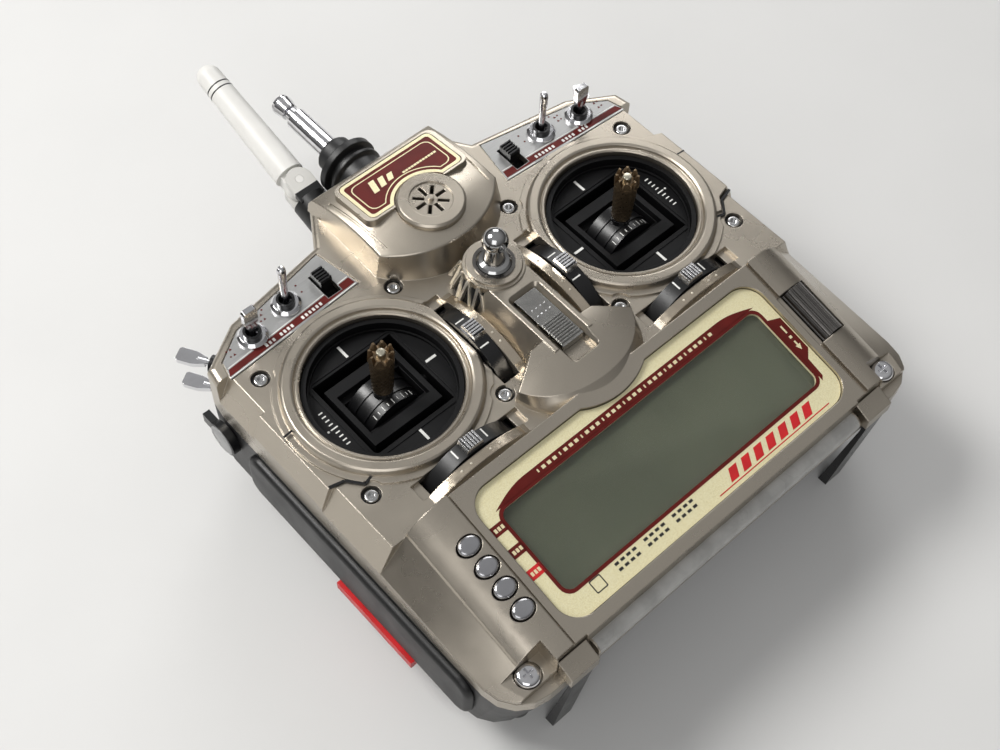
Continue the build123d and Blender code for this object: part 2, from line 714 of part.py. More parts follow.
with BuildPart() as rf_module:
    with Locations((0, MODULE_BAY[2], 0)):
        standing_box(MODULE_BAY[0] - 1, MODULE_BAY[1] - 1, 22)
    fillet(rf_module.edges().filter_by(Axis.Z), radius=4)
    chamfer(rf_module.faces().sort_by(Axis.Z)[0].edges(), length=1.4)
    for x in (-24, 24):
        with Locations((x, MODULE_BAY[2], 0)):
            Box(1.4, 34, 1.2, mode=Mode.SUBTRACT)
save(rf_module, "rf_module")

with BuildPart() as main_board:
    with Locations((0, -8, BOARD_Z)):
        standing_box(160, 84, 1.6)
        with GridLocations(34, 26, 3, 2):
            standing_box(16, 12, 4.4)
save(main_board, "main_board")

# ---- grips, inlays, feet ------------------------------------------------------------------
with BuildPart() as side_grips:
    for side in (-1, 1):
        with BuildSketch(Plane.YZ.offset(side * HALF_WIDTH)):
            with Locations((sum(GRIP_YS) / 2, sum(GRIP_ZS) / 2)):
                RectangleRounded(GRIP_YS[1] - GRIP_YS[0], GRIP_ZS[1] - GRIP_ZS[0], 6)
        extrude(amount=side * 2.6)
    for face in side_grips.faces().filter_by(Axis.X).group_by(Axis.X)[:: 3]:
        fillet(face.edges(), radius=2.2)
save(side_grips, "side_grips")

with BuildPart() as side_inlays:
    for side in (-1, 1):
        with Locations((side * (HALF_WIDTH + 1.57), -43.5, GRIP_ZS[0] - 1.8)):
            Box(4.06, 36, 3.6)
save(side_inlays, "side_inlays")

CAP_BACK_Y = -99.2
with BuildPart() as foot_caps:
    for side in (-1, 1):
        with BuildSketch(Plane.YZ.offset(side * FOOT_X - 5.5)):
            with BuildLine():
                Polyline(
                    (CAP_BACK_Y, PARTING + SKIRT + 0.2),
                    (CAP_BACK_Y, DECK - 8.4),
                    (-105.4, DECK - 11.0),
                    (-105.4, DECK - 15.6),
                    (-103.2, DECK - 15.6),
                    (-103.2, PARTING + SKIRT + 0.2),
                    close=True,
                )
            make_face()
        extrude(amount=11.0)
save(foot_caps, "foot_caps")
with BuildPart() as stand_legs:
    for side in (-1, 1):
        with BuildSketch(Plane.YZ.offset(side * FOOT_X - 3.8)):
            with BuildLine():
                Polyline(
                    (-105.2, DECK - 15.6),
                    (-103.2, DECK - 15.6),
                    (-103.2, PARTING - 1),
                    (-97.4, 2.4),
                    (-96.9, 0),
                    (-100.4, 0),
                    close=True,
                )
            make_face()
        extrude(amount=7.6)
save(stand_legs, "stand_legs")

# ---- screws -------------------------------------------------------------------------------
with BuildPart() as gimbal_screws:
    for side in (-1, 1):
        with Locations((side * GIMBAL_X, 0, DECK - 2.2)):
            with GridLocations(2 * GIMBAL_SCREW, 2 * GIMBAL_SCREW, 2, 2):
                standing_cylinder(2.3, 1.8)
                Cylinder(radius=1.35, height=8, align=(Align.CENTER, Align.CENTER, Align.MAX))
    fillet(gimbal_screws.faces().filter_by(Axis.Z).group_by(Axis.Z)[-1].edges(), radius=0.7)
    for side in (-1, 1):
        with Locations((side * GIMBAL_X, 0, DECK - 0.4)):
            with GridLocations(2 * GIMBAL_SCREW, 2 * GIMBAL_SCREW, 2, 2):
                Cylinder(radius=1.1, height=2.0, mode=Mode.SUBTRACT)
save(gimbal_screws, "gimbal_screws")

with BuildPart() as corner_screws:
    with Locations(*[(side * CORNER_SCREW[0], CORNER_SCREW[1], PARTING + 6.3) for side in (-1, 1)]):
        standing_cylinder(4.0, 3.0)
        Cylinder(radius=1.6, height=20, align=(Align.CENTER, Align.CENTER, Align.MAX))
    fillet(corner_screws.faces().filter_by(Axis.Z).group_by(Axis.Z)[-1].edges(), radius=1.8)
    with Locations(*[(side * CORNER_SCREW[0], CORNER_SCREW[1], PARTING + 9.3) for side in (-1, 1)]):
        Box(3.6, 0.8, 2.4, mode=Mode.SUBTRACT)
        Box(0.8, 3.6, 2.4, mode=Mode.SUBTRACT)
save(corner_screws, "corner_screws")

# ---- head block fittings ------------------------------------------------------------------
with BuildPart() as speaker_grille:
    with Locations((0, SPEAKER_Y, DECK + 8.9)):
        standing_cylinder(10.0, 5.8)
    with Locations((0, SPEAKER_Y, DECK + 12.4)):
        standing_cylinder(GRILLE_R, 2.3)
    chamfer(speaker_grille.faces().sort_by(Axis.Z)[-1].edges(), length=0.8)
    with Locations((0, SPEAKER_Y, DECK + 14.7)):
        Cylinder(radius=7.2, height=1.0, mode=Mode.SUBTRACT)
        Cylinder(radius=0.9, height=1.6)
        with PolarLocations(4.1, 8):
            Box(3.8, 1.25, 14, mode=Mode.SUBTRACT)
save(speaker_grille, "speaker_grille")

with BuildPart() as loudspeaker:
    with Locations((0, SPEAKER_Y + 2, DECK - 3.4)):
        standing_cylinder(12.8, 3)
        standing_cylinder(7, 11.2)
        standing_cone(7, 12.8, 5)
save(loudspeaker, "loudspeaker")

with BuildPart() as name_badge:
    with BuildSketch(badge_plane(-0.9)):
        RectangleRounded(38.6, 18.4, 2)
        with Locations((0, SPEAKER_Y - BADGE_Y)):
            Circle(GRILLE_R + 0.3, mode=Mode.SUBTRACT)
    extrude(amount=1.2)
save(name_badge, "name_badge")

# ---- display ------------------------------------------------------------------------------
with BuildPart() as display_label:
    with BuildSketch(panel_plane(-PANEL_DEPTH)):
        with Locations((0, label_y)):
            RectangleRounded(2 * LABEL_HALF + 0.6, label_height + 0.6, 7.8)
        with BuildLine():
            ThreePointArc((-19.3, 0), (0, on_panel(BOSS_FOOT_Y) - 0.5), (19.3, 0))
            Line((-19.3, 0), (19.3, 0))
        make_face(mode=Mode.SUBTRACT)
        with Locations((0, (on_panel(WINDOW_YS[0]) + on_panel(WINDOW_YS[1])) / 2)):
            window_length = on_panel(WINDOW_YS[1]) - on_panel(WINDOW_YS[0])
            RectangleRounded(2 * WINDOW_HALF, window_length, 3, mode=Mode.SUBTRACT)
    extrude(amount=1.0)
save(display_label, "display_label")

for piece_name, top, thickness, width, height in (
    ("display_window", -PANEL_DEPTH, 1.5, 117, 38.4),
    ("display_module", -PANEL_DEPTH - 1.5, 5.0, 112, 36),
):
    with BuildPart() as layer:
        with BuildSketch(panel_plane(top)):
            with Locations((0, (on_panel(-58) + on_panel(-88)) / 2)):
                RectangleRounded(width, height, 1)
        extrude(amount=-thickness)
    save(layer, piece_name)

# ---- keys and roller ----------------------------------------------------------------------
for number, y in enumerate(KEY_YS, start=1):
    with BuildPart() as key:
        with BuildSketch(panel_plane(-7)):
            with Locations((-KEY_X, on_panel(y))):
                Ellipse(3.7, 2.9)
        extrude(amount=8.6)
        fillet(key.edges().filter_by(GeomType.ELLIPSE).sort_by(Axis.Z)[-1:], radius=1.0)
    save(key, f"menu_key_{number}")

with BuildPart() as roller:
    with Locations(panel_plane(-3.4)):
        with Locations((ROLLER_X, roller_y, 0)):
            Cylinder(radius=ROLLER_R - 0.3, height=roller_length, rotation=(90, 0, 0))
            Cylinder(radius=1.24, height=roller_length + 4, rotation=(90, 0, 0))
    with Locations(panel_plane(-3.4)):
        with Locations(Location((ROLLER_X, roller_y, 0), (90, 0, 0))):
            with PolarLocations(ROLLER_R - 0.3, 16):
                Cylinder(radius=0.45, height=roller_length + 1, mode=Mode.SUBTRACT)
save(roller, "select_roller")

# ---- power slider and strap eyelet --------------------------------------------------------
with BuildPart() as power_slider:
    with Locations((0, POWER_YS[1] - 1.6, SPINE_TOP - 3.8)):
        Box(8.6, 22.4, 2.9, align=(Align.CENTER, Align.MAX, Align.MIN))
        for step in range(9):
            with Locations((0, -12.6 - 1.05 * step, 2.9)):
                standing_box(8.0, 0.55, 0.5)
        with Locations((0, -8.3, 0)):
            Box(4.2, 6, 9, align=(Align.CENTER, Align.CENTER, Align.MAX))
save(power_slider, "power_slider")

with BuildPart() as strap_eyelet:
    with BuildSketch(Plane.XZ.offset(-EYELET_Y)):
        with BuildLine():
            Polyline(
                (0, DECK + 2),
                (2.54, DECK + 2),
                (2.54, DECK + 9.4),
                (5.6, DECK + 9.4),
                (5.6, DECK + 12.2),
                (4.9, DECK + 12.9),
                (3.6, DECK + 13.4),
                (2.5, EYELET_Z - 3.6),
                (0, EYELET_Z - 3.6),
                close=True,
            )
        make_face()
    revolve(axis=Axis((0, EYELET_Y, 0), (0, 0, 1)))
    with Locations((0, EYELET_Y, EYELET_Z)):
        Sphere(radius=4.3)
        Cylinder(radius=EYELET_HOLE_R, height=12, rotation=(90, 0, 0), mode=Mode.SUBTRACT)
save(strap_eyelet, "strap_eyelet")

# ---- trims --------------------------------------------------------------------------------
for name, x, y, along_x, arch_side in TRIMS:
    with BuildPart() as trim:
        with BuildSketch(trim_plane(x, y, along_x, -TRIM_WIDTH / 2)):
            with BuildLine():
                reach = radians(58)
                left = (-TRIM_DRUM_R * sin(reach), TRIM_AXIS_Z + TRIM_DRUM_R * cos(reach))
                right = (-left[0], left[1])
                Line((0, TRIM_AXIS_Z - 2), left)
                ThreePointArc(left, (0, TRIM_AXIS_Z + TRIM_DRUM_R), right)
                Line(right, (0, TRIM_AXIS_Z - 2))
            make_face()
            with Locations((0, TRIM_AXIS_Z + 9)):
                Circle(3.4, mode=Mode.SUBTRACT)
        extrude(amount=TRIM_WIDTH * (-1 if along_x else 1))
        with BuildSketch(trim_plane(x, y, along_x, -TRIM_WIDTH / 2 + 0.5)):
            with BuildLine():
                Polyline(
                    (-3.4, TRIM_AXIS_Z + TRIM_DRUM_R - 1),
                    (-2.7, DECK + TRIM_RISE + 2.1),
                    (2.7, DECK + TRIM_RISE + 2.1),
                    (3.4, TRIM_AXIS_Z + TRIM_DRUM_R - 1),
                    close=True,
                )
            make_face()
        extrude(amount=(TRIM_WIDTH - 1.0) * (-1 if along_x else 1))
        with BuildSketch(trim_plane(x, y, along_x, 0)):
            with Locations((0, TRIM_AXIS_Z)):
                Circle(TRIM_AXLE_R)
        extrude(amount=(TRIM_WIDTH / 2 + TRIM_GAP + 2.2) * (-arch_side if along_x else arch_side))
    save(trim, f"trim_{name}")

# ---- switch plates and toggle switches ----------------------------------------------------
for side_name, side in SIDES:
    with BuildPart() as switch_plate:
        with BuildSketch(Plane.XY.offset(DECK - 0.6)):
            with BuildLine():
                Polyline(
                    *[
                        (side * px, py)
                        for px, py in ((35.9, 52.8), (32.6, 35.3), (85.3, 32.4), (83.6, 39.0), (73.2, 45.7))
                    ],
                    close=True,
                )
            make_face()
            with Locations((side * GIMBAL_X, 0)):
                Circle(GIMBAL_RING_R + 0.5, mode=Mode.SUBTRACT)
            with Locations((side * THUMB_SLOT[0], THUMB_SLOT[1])):
                Rectangle(5.4, 10.6, mode=Mode.SUBTRACT)
            with Locations((side * LONG_TOGGLE[0], LONG_TOGGLE[1]), (side * FLAT_TOGGLE[0], FLAT_TOGGLE[1])):
                Circle(BUSHING_R + 0.1, mode=Mode.SUBTRACT)
        extrude(amount=0.6)
    save(switch_plate, f"switch_plate_{side_name}")

TOGGLE_PIVOT = 0.6  # lever's pivot above the face that its bushing stands in
with BuildPart() as switch_body:
    Cylinder(radius=BUSHING_R, height=10.6, align=(Align.CENTER, Align.CENTER, Align.MAX))
    with Locations((0, 0, -8.2)):
        Box(12.6, 7.4, 9, align=(Align.CENTER, Align.CENTER, Align.MAX))
with BuildPart() as bushing:
    add(switch_body.part.moved(Location((0, 0, 3.4))))
    with Locations((0, 0, -2.6)):
        standing_cylinder(2.2, 8, Mode.SUBTRACT)
with BuildPart() as dress_nut:
    standing_cylinder(NUT_R, 1.9)
    chamfer(dress_nut.faces().sort_by(Axis.Z)[-1].edges(), length=0.9)
    Cylinder(radius=BUSHING_R + 0.02, height=6, mode=Mode.SUBTRACT)
with BuildPart() as round_lever:
    with BuildSketch(Plane.XZ):
        with BuildLine():
            Polyline((0, TOGGLE_PIVOT - 2.6), (0.9, TOGGLE_PIVOT - 2.6), (1.8, TOGGLE_PIVOT - 0.6))
            Polyline((1.8, TOGGLE_PIVOT - 0.6), (1.8, TOGGLE_PIVOT + 0.4), (1.05, TOGGLE_PIVOT + 1.3))
            Polyline((1.05, TOGGLE_PIVOT + 1.3), (1.5, 18.4), (1.3, 19.3), (0.8, 19.85))
            Polyline((0.8, 19.85), (0, 20), (0, TOGGLE_PIVOT - 2.6))
        make_face()
    revolve(axis=Axis.Z)
    with Locations((0, 0, TOGGLE_PIVOT)):
        Cylinder(radius=0.7, height=3.9, rotation=(0, 90, 0))
with BuildPart() as flat_lever:
    with BuildSketch(Plane.XZ):
        with BuildLine():
            Polyline((0, TOGGLE_PIVOT - 2.6), (0.9, TOGGLE_PIVOT - 2.6), (1.8, TOGGLE_PIVOT - 0.6))
            Polyline((1.8, TOGGLE_PIVOT - 0.6), (1.8, TOGGLE_PIVOT + 0.4), (1.1, TOGGLE_PIVOT + 1.3))
            Polyline((1.1, TOGGLE_PIVOT + 1.3), (1.1, 8), (0, 8), (0, TOGGLE_PIVOT - 2.6))
        make_face()
    revolve(axis=Axis.Z)
    with Locations((0, 0, TOGGLE_PIVOT)):
        Cylinder(radius=0.7, height=3.9, rotation=(0, 90, 0))
    with BuildSketch(Plane.XZ.offset(-0.95)):
        with BuildLine():
            Polyline((-1.9, 14.8), (-2.5, 14), (-2.5, 9), (-1.3, 5))
            Polyline((-1.3, 5), (1.3, 5), (2.5, 9), (2.5, 14), (1.9, 14.8), (-1.9, 14.8))
        make_face()
    extrude(amount=1.9)

deck_places = {}
for side_name, side in SIDES:
    for name, lever, (x, y) in (
        ("long_toggle", round_lever, LONG_TOGGLE),
        ("flat_toggle", flat_lever, FLAT_TOGGLE),
    ):
        deck_places[f"{name}_{side_name}"] = (lever, Location((side * x, y, DECK)))
shoulder_places = {}
for side_name, side in SIDES:
    for level, height in SHOULDER_ZS:
        name = f"{level}_shoulder_toggle_{side_name}"
        shoulder_places[name] = (flat_lever, shoulder_location(side, height))

with BuildPart() as toggle_bodies:
    for lever, place in [*deck_places.values(), *shoulder_places.values()]:
        add(bushing.part.moved(place))
save(toggle_bodies, "toggle_bodies")
with BuildPart() as deck_nuts:
    for lever, place in deck_places.values():
        add(dress_nut.part.moved(place))
save(deck_nuts, "deck_nuts")
with BuildPart() as shoulder_nuts:
    for lever, place in shoulder_places.values():
        add(dress_nut.part.moved(place))
save(shoulder_nuts, "shoulder_nuts")
for name, (lever, place) in {**deck_places, **shoulder_places}.items():
    with BuildPart() as toggle:
        add(lever.part.moved(place))
    save(toggle, name)

for side_name, side in SIDES:
    with BuildPart() as thumb_slider:
        with Locations((side * THUMB_SLOT[0], THUMB_SLOT[1] + 1.6, 0)):
            with Locations((0, 0, DECK - 5.4)):
                standing_box(8, 13, 1.4)
            with Locations((0, 0, DECK - 4.2)):
                standing_box(4.4, 5.6, 7.0)
            for step in range(5):
                with Locations((0, (step - 2) * 1.15, DECK + 2.8)):
                    standing_box(4.4, 0.6, 0.6)
    save(thumb_slider, f"thumb_slider_{side_name}")

for side_name, side in SIDES:
    with BuildPart() as side_lever:
        hub = (side * (HALF_WIDTH + 0.4), SIDE_LEVER[0], SIDE_LEVER[1])
        with Locations(Location(hub, (0, side * 90, 0))):
            standing_cylinder(6.2, 2.8)
            Cylinder(radius=2.0, height=7, align=(Align.CENTER, Align.CENTER, Align.MAX))
        with Locations((side * (HALF_WIDTH + 1.7), SIDE_LEVER[0] + 7, SIDE_LEVER[1] + 1)):
            Box(2.6, 6.4, 4.6)
    save(side_lever, f"side_lever_{side_name}")

# ---- gimbals ------------------------------------------------------------------------------
CUP_R = 23.6
PIN_R = 2.0
for side_name, side in SIDES:
    with BuildPart() as housing:
        with Locations((side * GIMBAL_X, 0, 0)):
            with Locations((0, 0, CUP_FLOOR - 1.5)):
                standing_box(57.2, 57.2, 2.4)
            with Locations((0, 0, CUP_FLOOR + 0.9)):
                standing_cylinder(25.2, 3.1)
            with Locations((0, 0, CUP_FLOOR)):
                standing_cylinder(CUP_R, 8, Mode.SUBTRACT)
            with Locations((0, 0, PIVOT_Z - 14)):
                standing_box(41, 41, 22.6)
                Box(34.4, 34.4, 23, align=(Align.CENTER, Align.CENTER, Align.MIN), mode=Mode.SUBTRACT)
            Box(31.2, 31.2, 140, mode=Mode.SUBTRACT)
            with GridLocations(2 * GIMBAL_SCREW, 2 * GIMBAL_SCREW, 2, 2):
                Cylinder(radius=1.5, height=140, mode=Mode.SUBTRACT)
            with Locations((0, 0, PIVOT_Z)):
                Cylinder(radius=PIN_R + PIN_CLEARANCE, height=60, rotation=(0, 90, 0), mode=Mode.SUBTRACT)
    save(housing, f"gimbal_housing_{side_name}")
    with BuildPart() as cradle:
        with Locations((side * GIMBAL_X, 0, PIVOT_Z - 4)):
            standing_box(27, 25, 13)
            Box(22.8, 12.8, 13, align=(Align.CENTER, Align.CENTER, Align.MIN), mode=Mode.SUBTRACT)
            with Locations((0, 0, 10.2)):
                Box(23.2, 17, 5, align=(Align.CENTER, Align.CENTER, Align.MIN), mode=Mode.SUBTRACT)
        with Locations((side * GIMBAL_X, 0, PIVOT_Z)):
            Cylinder(radius=1.5 + PIN_CLEARANCE, height=40, rotation=(90, 0, 0), mode=Mode.SUBTRACT)
            for pin_side in (-1, 1):
                with Locations((pin_side * 16, 0, 0)):
                    Cylinder(radius=PIN_R, height=7, rotation=(0, 90, 0))
    save(cradle, f"gimbal_cradle_{side_name}")
    with BuildPart() as stick:
        with Locations((side * GIMBAL_X, 0, PIVOT_Z)):
            Cylinder(radius=DRUM_R, height=2 * DRUM_HALF, rotation=(90, 0, 0))
            Cylinder(radius=1.5, height=24, rotation=(90, 0, 0))
            standing_cylinder(2.0, STICK_TOP - PIVOT_Z - 6)
            standing_cylinder(3.2, 12.9)
    save(stick, f"stick_{side_name}")
    with BuildPart() as grip:
        with Locations((side * GIMBAL_X, 0, DECK - 1)):
            with Locations((0, 0, 0)):
                standing_cone(3.35, 3.9, 15)
            with Locations((0, 0, 15)):
                standing_cone(3.9, 4.3, 4.4)
            with Locations((0, 0, 19.4)):
                standing_cone(4.3, 3.3, 1.6)
            with Locations((0, 0, 18.6)):
                with PolarLocations(4.4, 8, start_angle=22.5):
                    standing_cylinder(0.9, 4, Mode.SUBTRACT)
            with Locations((0, 0, 19.6)):
                standing_cylinder(2.3, 3, Mode.SUBTRACT)
                standing_cylinder(1.3, 2.2)
            for level in range(5):
                with Locations((0, 0, 2.5 + 2.6 * level)):
                    Torus(major_radius=4.05 + 0.06 * level, minor_radius=0.42, mode=Mode.SUBTRACT)
            standing_cylinder(2.0, 16.0, Mode.SUBTRACT)
    save(grip, f"stick_grip_{side_name}")

# ---- telescopic antenna -------------------------------------------------------------------
TIP_REACH = ANTENNA_TIP_Y


def bar(radius, start_y, end_y):
    """A round bar along Y on the antenna's axis."""
    with Locations((0, start_y, ANTENNA_Z)):
        Cylinder(
            radius=radius,
            height=end_y - start_y,
            rotation=(-90, 0, 0),
            align=(Align.CENTER, Align.CENTER, Align.MIN),
        )


with BuildPart() as antenna_mount:
    with BuildSketch(Plane.YZ):
        with BuildLine():
            Polyline(
                (HEAD_Y + 0.1, ANTENNA_Z),
                (HEAD_Y + 0.1, ANTENNA_Z + 9.0),
                (75.4, ANTENNA_Z + 9.0),
                (76.2, ANTENNA_Z + 10.4),
                (77.4, ANTENNA_Z + 10.4),
                (78.2, ANTENNA_Z + 8.6),
                (79.4, ANTENNA_Z + 8.6),
                (80.2, ANTENNA_Z + 11.1),
                (82.6, ANTENNA_Z + 11.1),
                (84.2, ANTENNA_Z + 8.2),
                (85.0, ANTENNA_Z + 7.0),
                (89.0, ANTENNA_Z + 6.8),
                (90.0, ANTENNA_Z + 6.0),
                (90.0, ANTENNA_Z),
                close=True,
            )
        make_face()
    revolve(axis=Axis((0, 0, ANTENNA_Z), (0, 1, 0)))
    with Locations((0, 78, ANTENNA_Z)):
        Cylinder(radius=TUBE_R + 0.05, height=40, rotation=(90, 0, 0), mode=Mode.SUBTRACT)
save(antenna_mount, "antenna_mount")

with BuildPart() as antenna_tube:
    bar(TUBE_R, -38, 110)
    with Locations((0, -38, ANTENNA_Z)):
        Cylinder(
            radius=3.45,
            height=148,
            rotation=(-90, 0, 0),
            align=(Align.CENTER, Align.CENTER, Align.MIN),
            mode=Mode.SUBTRACT,
        )
save(antenna_tube, "antenna_tube")

with BuildPart() as antenna_middle:
    bar(3.4, -34, 110.6)
    bar(2.7, 110.6, 112.8)
    with Locations((0, -34, ANTENNA_Z)):
        Cylinder(
            radius=2.05,
            height=150,
            rotation=(-90, 0, 0),
            align=(Align.CENTER, Align.CENTER, Align.MIN),
            mode=Mode.SUBTRACT,
        )
save(antenna_middle, "antenna_middle")

with BuildPart() as antenna_tip:
    with BuildSketch(Plane.YZ):
        with BuildLine():
            Polyline(
                (-30, ANTENNA_Z),
                (-30, ANTENNA_Z + 2.0),
                (113.4, ANTENNA_Z + 2.0),
                (113.8, ANTENNA_Z + 3.2),
                (118.2, ANTENNA_Z + 3.9),
                (119.4, ANTENNA_Z + 3.7),
                (TIP_REACH, ANTENNA_Z + 3.0),
                (TIP_REACH, ANTENNA_Z),
                close=True,
            )
        make_face()
    revolve(axis=Axis((0, 0, ANTENNA_Z), (0, 1, 0)))
save(antenna_tip, "antenna_tip")

# ---- folding antenna ----------------------------------------------------------------------
HOLDER_FOOT = 3.2
with BuildPart() as duck_holder:
    with Locations(duck_plane(0).location):
        with Locations((0, 0, -12)):
            standing_cylinder(3.5, 12 + KNUCKLE - 7)
        with Locations((0, 0, HOLDER_FOOT)):
            standing_cylinder(6.6, KNUCKLE - 6.6 - HOLDER_FOOT)
        for cheek in (-4.2, 4.2):
            with Locations((0, cheek, KNUCKLE)):
                Cylinder(radius=4.8, height=2.4, rotation=(90, 0, 0))
                Box(9.6, 2.4, 8, align=(Align.CENTER, Align.CENTER, Align.MAX))
        with Locations((0, 0, KNUCKLE)):
            Cylinder(radius=1.55, height=30, rotation=(90, 0, 0), mode=Mode.SUBTRACT)
save(duck_holder, "duck_holder")
with BuildPart() as duck_rod:
    with Locations(duck_plane(0).location):
        with Locations((0, 0, KNUCKLE)):
            Cylinder(radius=4.4, height=5.4, rotation=(90, 0, 0))
            Cylinder(radius=1.5, height=10.8, rotation=(90, 0, 0))
            standing_box(8.4, 5.4, 6.2)
        with Locations((0, 0, KNUCKLE + 5.6)):
            standing_cone(5.6, 4.5, 48.4)
        with Locations((0, 0, KNUCKLE + 54)):
            Sphere(radius=4.5)
save(duck_rod, "duck_rod")
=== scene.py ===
"""Looks of a hand-held radio control transmitter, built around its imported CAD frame.

Metres, in the CAD's frame: +X to the user's right, +Y towards the antennas, +Z out of the face.
"""
import json
import math

import bmesh
import bpy
from mathutils import Matrix, Vector


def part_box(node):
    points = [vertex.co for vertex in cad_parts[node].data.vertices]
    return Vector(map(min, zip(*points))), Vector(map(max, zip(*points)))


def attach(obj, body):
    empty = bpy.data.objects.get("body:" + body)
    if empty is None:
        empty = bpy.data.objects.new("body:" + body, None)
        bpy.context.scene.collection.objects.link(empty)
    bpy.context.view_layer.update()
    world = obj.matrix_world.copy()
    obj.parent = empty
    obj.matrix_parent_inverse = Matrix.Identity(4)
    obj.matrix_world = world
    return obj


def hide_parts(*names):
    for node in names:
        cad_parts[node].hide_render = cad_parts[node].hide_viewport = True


MM = 0.001
SIDES = (("left", -1), ("right", 1))
SHARP = math.radians(32)  # edges that turn by more than this stay sharp

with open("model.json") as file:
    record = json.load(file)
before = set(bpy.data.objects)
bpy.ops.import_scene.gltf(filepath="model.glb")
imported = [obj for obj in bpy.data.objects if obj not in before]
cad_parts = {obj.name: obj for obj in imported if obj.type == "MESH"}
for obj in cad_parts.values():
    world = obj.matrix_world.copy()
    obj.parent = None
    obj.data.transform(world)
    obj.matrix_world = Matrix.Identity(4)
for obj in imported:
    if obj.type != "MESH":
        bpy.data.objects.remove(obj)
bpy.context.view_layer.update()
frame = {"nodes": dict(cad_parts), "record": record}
nodes = frame["nodes"]


# ---- places worked out from the frame ------------------------------------------------------
def middle(node):
    """Centre of a CAD node's box."""
    low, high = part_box(node)
    return (Vector(low) + Vector(high)) / 2


DECK_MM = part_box("switch_plate_left")[1][2] / MM
STICK_X = middle("gimbal_housing_right").x / MM
HOLDER_SPLIT = 87.2 * MM  # where the folding antenna's black foot ends and its pale fork begins


# ---- material building blocks --------------------------------------------------------------
class Recipe:
    """A node material with helpers for the few kinds of node that every finish here uses."""

    def __init__(self, name):
        self.material = bpy.data.materials.new(name)
        self.material.use_nodes = True
        self.tree = self.material.node_tree
        self.shader = self.tree.nodes["Principled BSDF"]
        self.coords = self.tree.nodes.new("ShaderNodeTexCoord").outputs["Object"]
        self.normal = None

    def node(self, kind, inputs=(), **settings):
        """A node with these settings, and its inputs linked or set."""
        made = self.tree.nodes.new(kind)
        for key, value in settings.items():
            setattr(made, key, value)
        for socket, value in dict(inputs).items():
            if isinstance(value, bpy.types.NodeSocket):
                self.tree.links.new(value, made.inputs[socket])
            else:
                made.inputs[socket].default_value = value
        return made

    def stretched(self, scale):
        """Object coordinates scaled along each axis."""
        return self.node("ShaderNodeMapping", {"Vector": self.coords, "Scale": scale}).outputs[0]

    def noise(self, size, detail=3.0, vector=None):
        """Noise whose features are about size metres across."""
        vector = vector or self.coords
        return self.node(
            "ShaderNodeTexNoise", {"Vector": vector, "Scale": 1 / size, "Detail": detail}
        ).outputs["Fac"]

    def ramp(self, fac, low, high, start=0.0, end=1.0):
        """A value that runs from low to high while fac runs from start to end."""
        inputs = {0: fac, 1: start, 2: end, 3: low, 4: high}
        return self.node("ShaderNodeMapRange", inputs).outputs[0]

    def mix(self, fac, first, second):
        """Colour mixed between two colours, each of them a socket or a triple."""
        first, second = (c if isinstance(c, bpy.types.NodeSocket) else (*c, 1) for c in (first, second))
        return self.node("ShaderNodeMix", {0: fac, 6: first, 7: second}, data_type="RGBA").outputs[2]

    def set(self, **values):
        """Uniform values on the shader's own sockets."""
        for key, value in values.items():
            self.shader.inputs[key.replace("_", " ")].default_value = value
        return self

    def link(self, **sockets):
        """Sockets that drive the shader's own."""
        for key, socket in sockets.items():
            self.tree.links.new(socket, self.shader.inputs[key.replace("_", " ")])
        return self

    def soften(self, radius):
        """Edges catch light as if they were rounded to this radius."""
        self.normal = self.node("ShaderNodeBevel", {"Radius": radius}, samples=4).outputs[0]
        self.tree.links.new(self.normal, self.shader.inputs["Normal"])
        return self

    def bump(self, height, depth, strength=1.0):
        """Adds relief; depth is in metres."""
        inputs = {"Height": height, "Distance": depth, "Strength": strength}
        if self.normal:
            inputs["Normal"] = self.normal
        self.normal = self.node("ShaderNodeBump", inputs).outputs[0]
        self.tree.links.new(self.normal, self.shader.inputs["Normal"])
        return self


def tinted(recipe, color, spread, size):
    """Base colour with a slight variation over patches of this size."""
    darker = [c * (1 - spread) for c in color]
    lighter = [min(c * (1 + spread), 1) for c in color]
    fac = recipe.ramp(recipe.noise(size), 0, 1, 0.35, 0.65)
    return recipe.link(Base_Color=recipe.mix(fac, darker, lighter))


def make_champagne(name="champagne_paint", roughness=0.29):
    """Satin metallic paint with a fine flake."""
    r = Recipe(name).soften(0.5 * MM)
    tinted(r, (0.455, 0.41, 0.345), 0.06, 0.14 * MM)
    flake = r.noise(0.16 * MM, 2)
    worn = r.noise(18 * MM, 4)
    rough = r.ramp(worn, roughness - 0.05, roughness + 0.05, 0.3, 0.7)
    r.link(Roughness=rough).set(Metallic=0.92)
    return r.bump(flake, 0.006 * MM).material


def make_plastic(
    name, color, roughness, grain=0.0, size=0.3 * MM, edge=0.3 * MM, spread=0.12, specular=0.5
):
    """Moulded plastic, paint or print with an optional grain."""
    r = Recipe(name).soften(edge).set(Specular_IOR_Level=specular)
    tinted(r, color, spread, 6 * MM)
    handled = r.noise(14 * MM, 4)
    r.link(Roughness=r.ramp(handled, roughness - 0.06, roughness + 0.07, 0.3, 0.7))
    return r.bump(r.noise(size, 4), max(grain, 0.002 * MM)).material


def make_chrome(name, color=(0.72, 0.72, 0.74), roughness=0.1, edge=0.2 * MM):
    """Plated metal with faint handling marks."""
    r = Recipe(name).soften(edge)
    tinted(r, color, 0.04, 5 * MM)
    marks = r.noise(2.2 * MM, 6)
    r.link(Roughness=r.ramp(marks, roughness - 0.03, roughness + 0.08, 0.35, 0.75)).set(Metallic=1.0)
    return r.bump(r.noise(0.5 * MM, 3), 0.0015 * MM).material


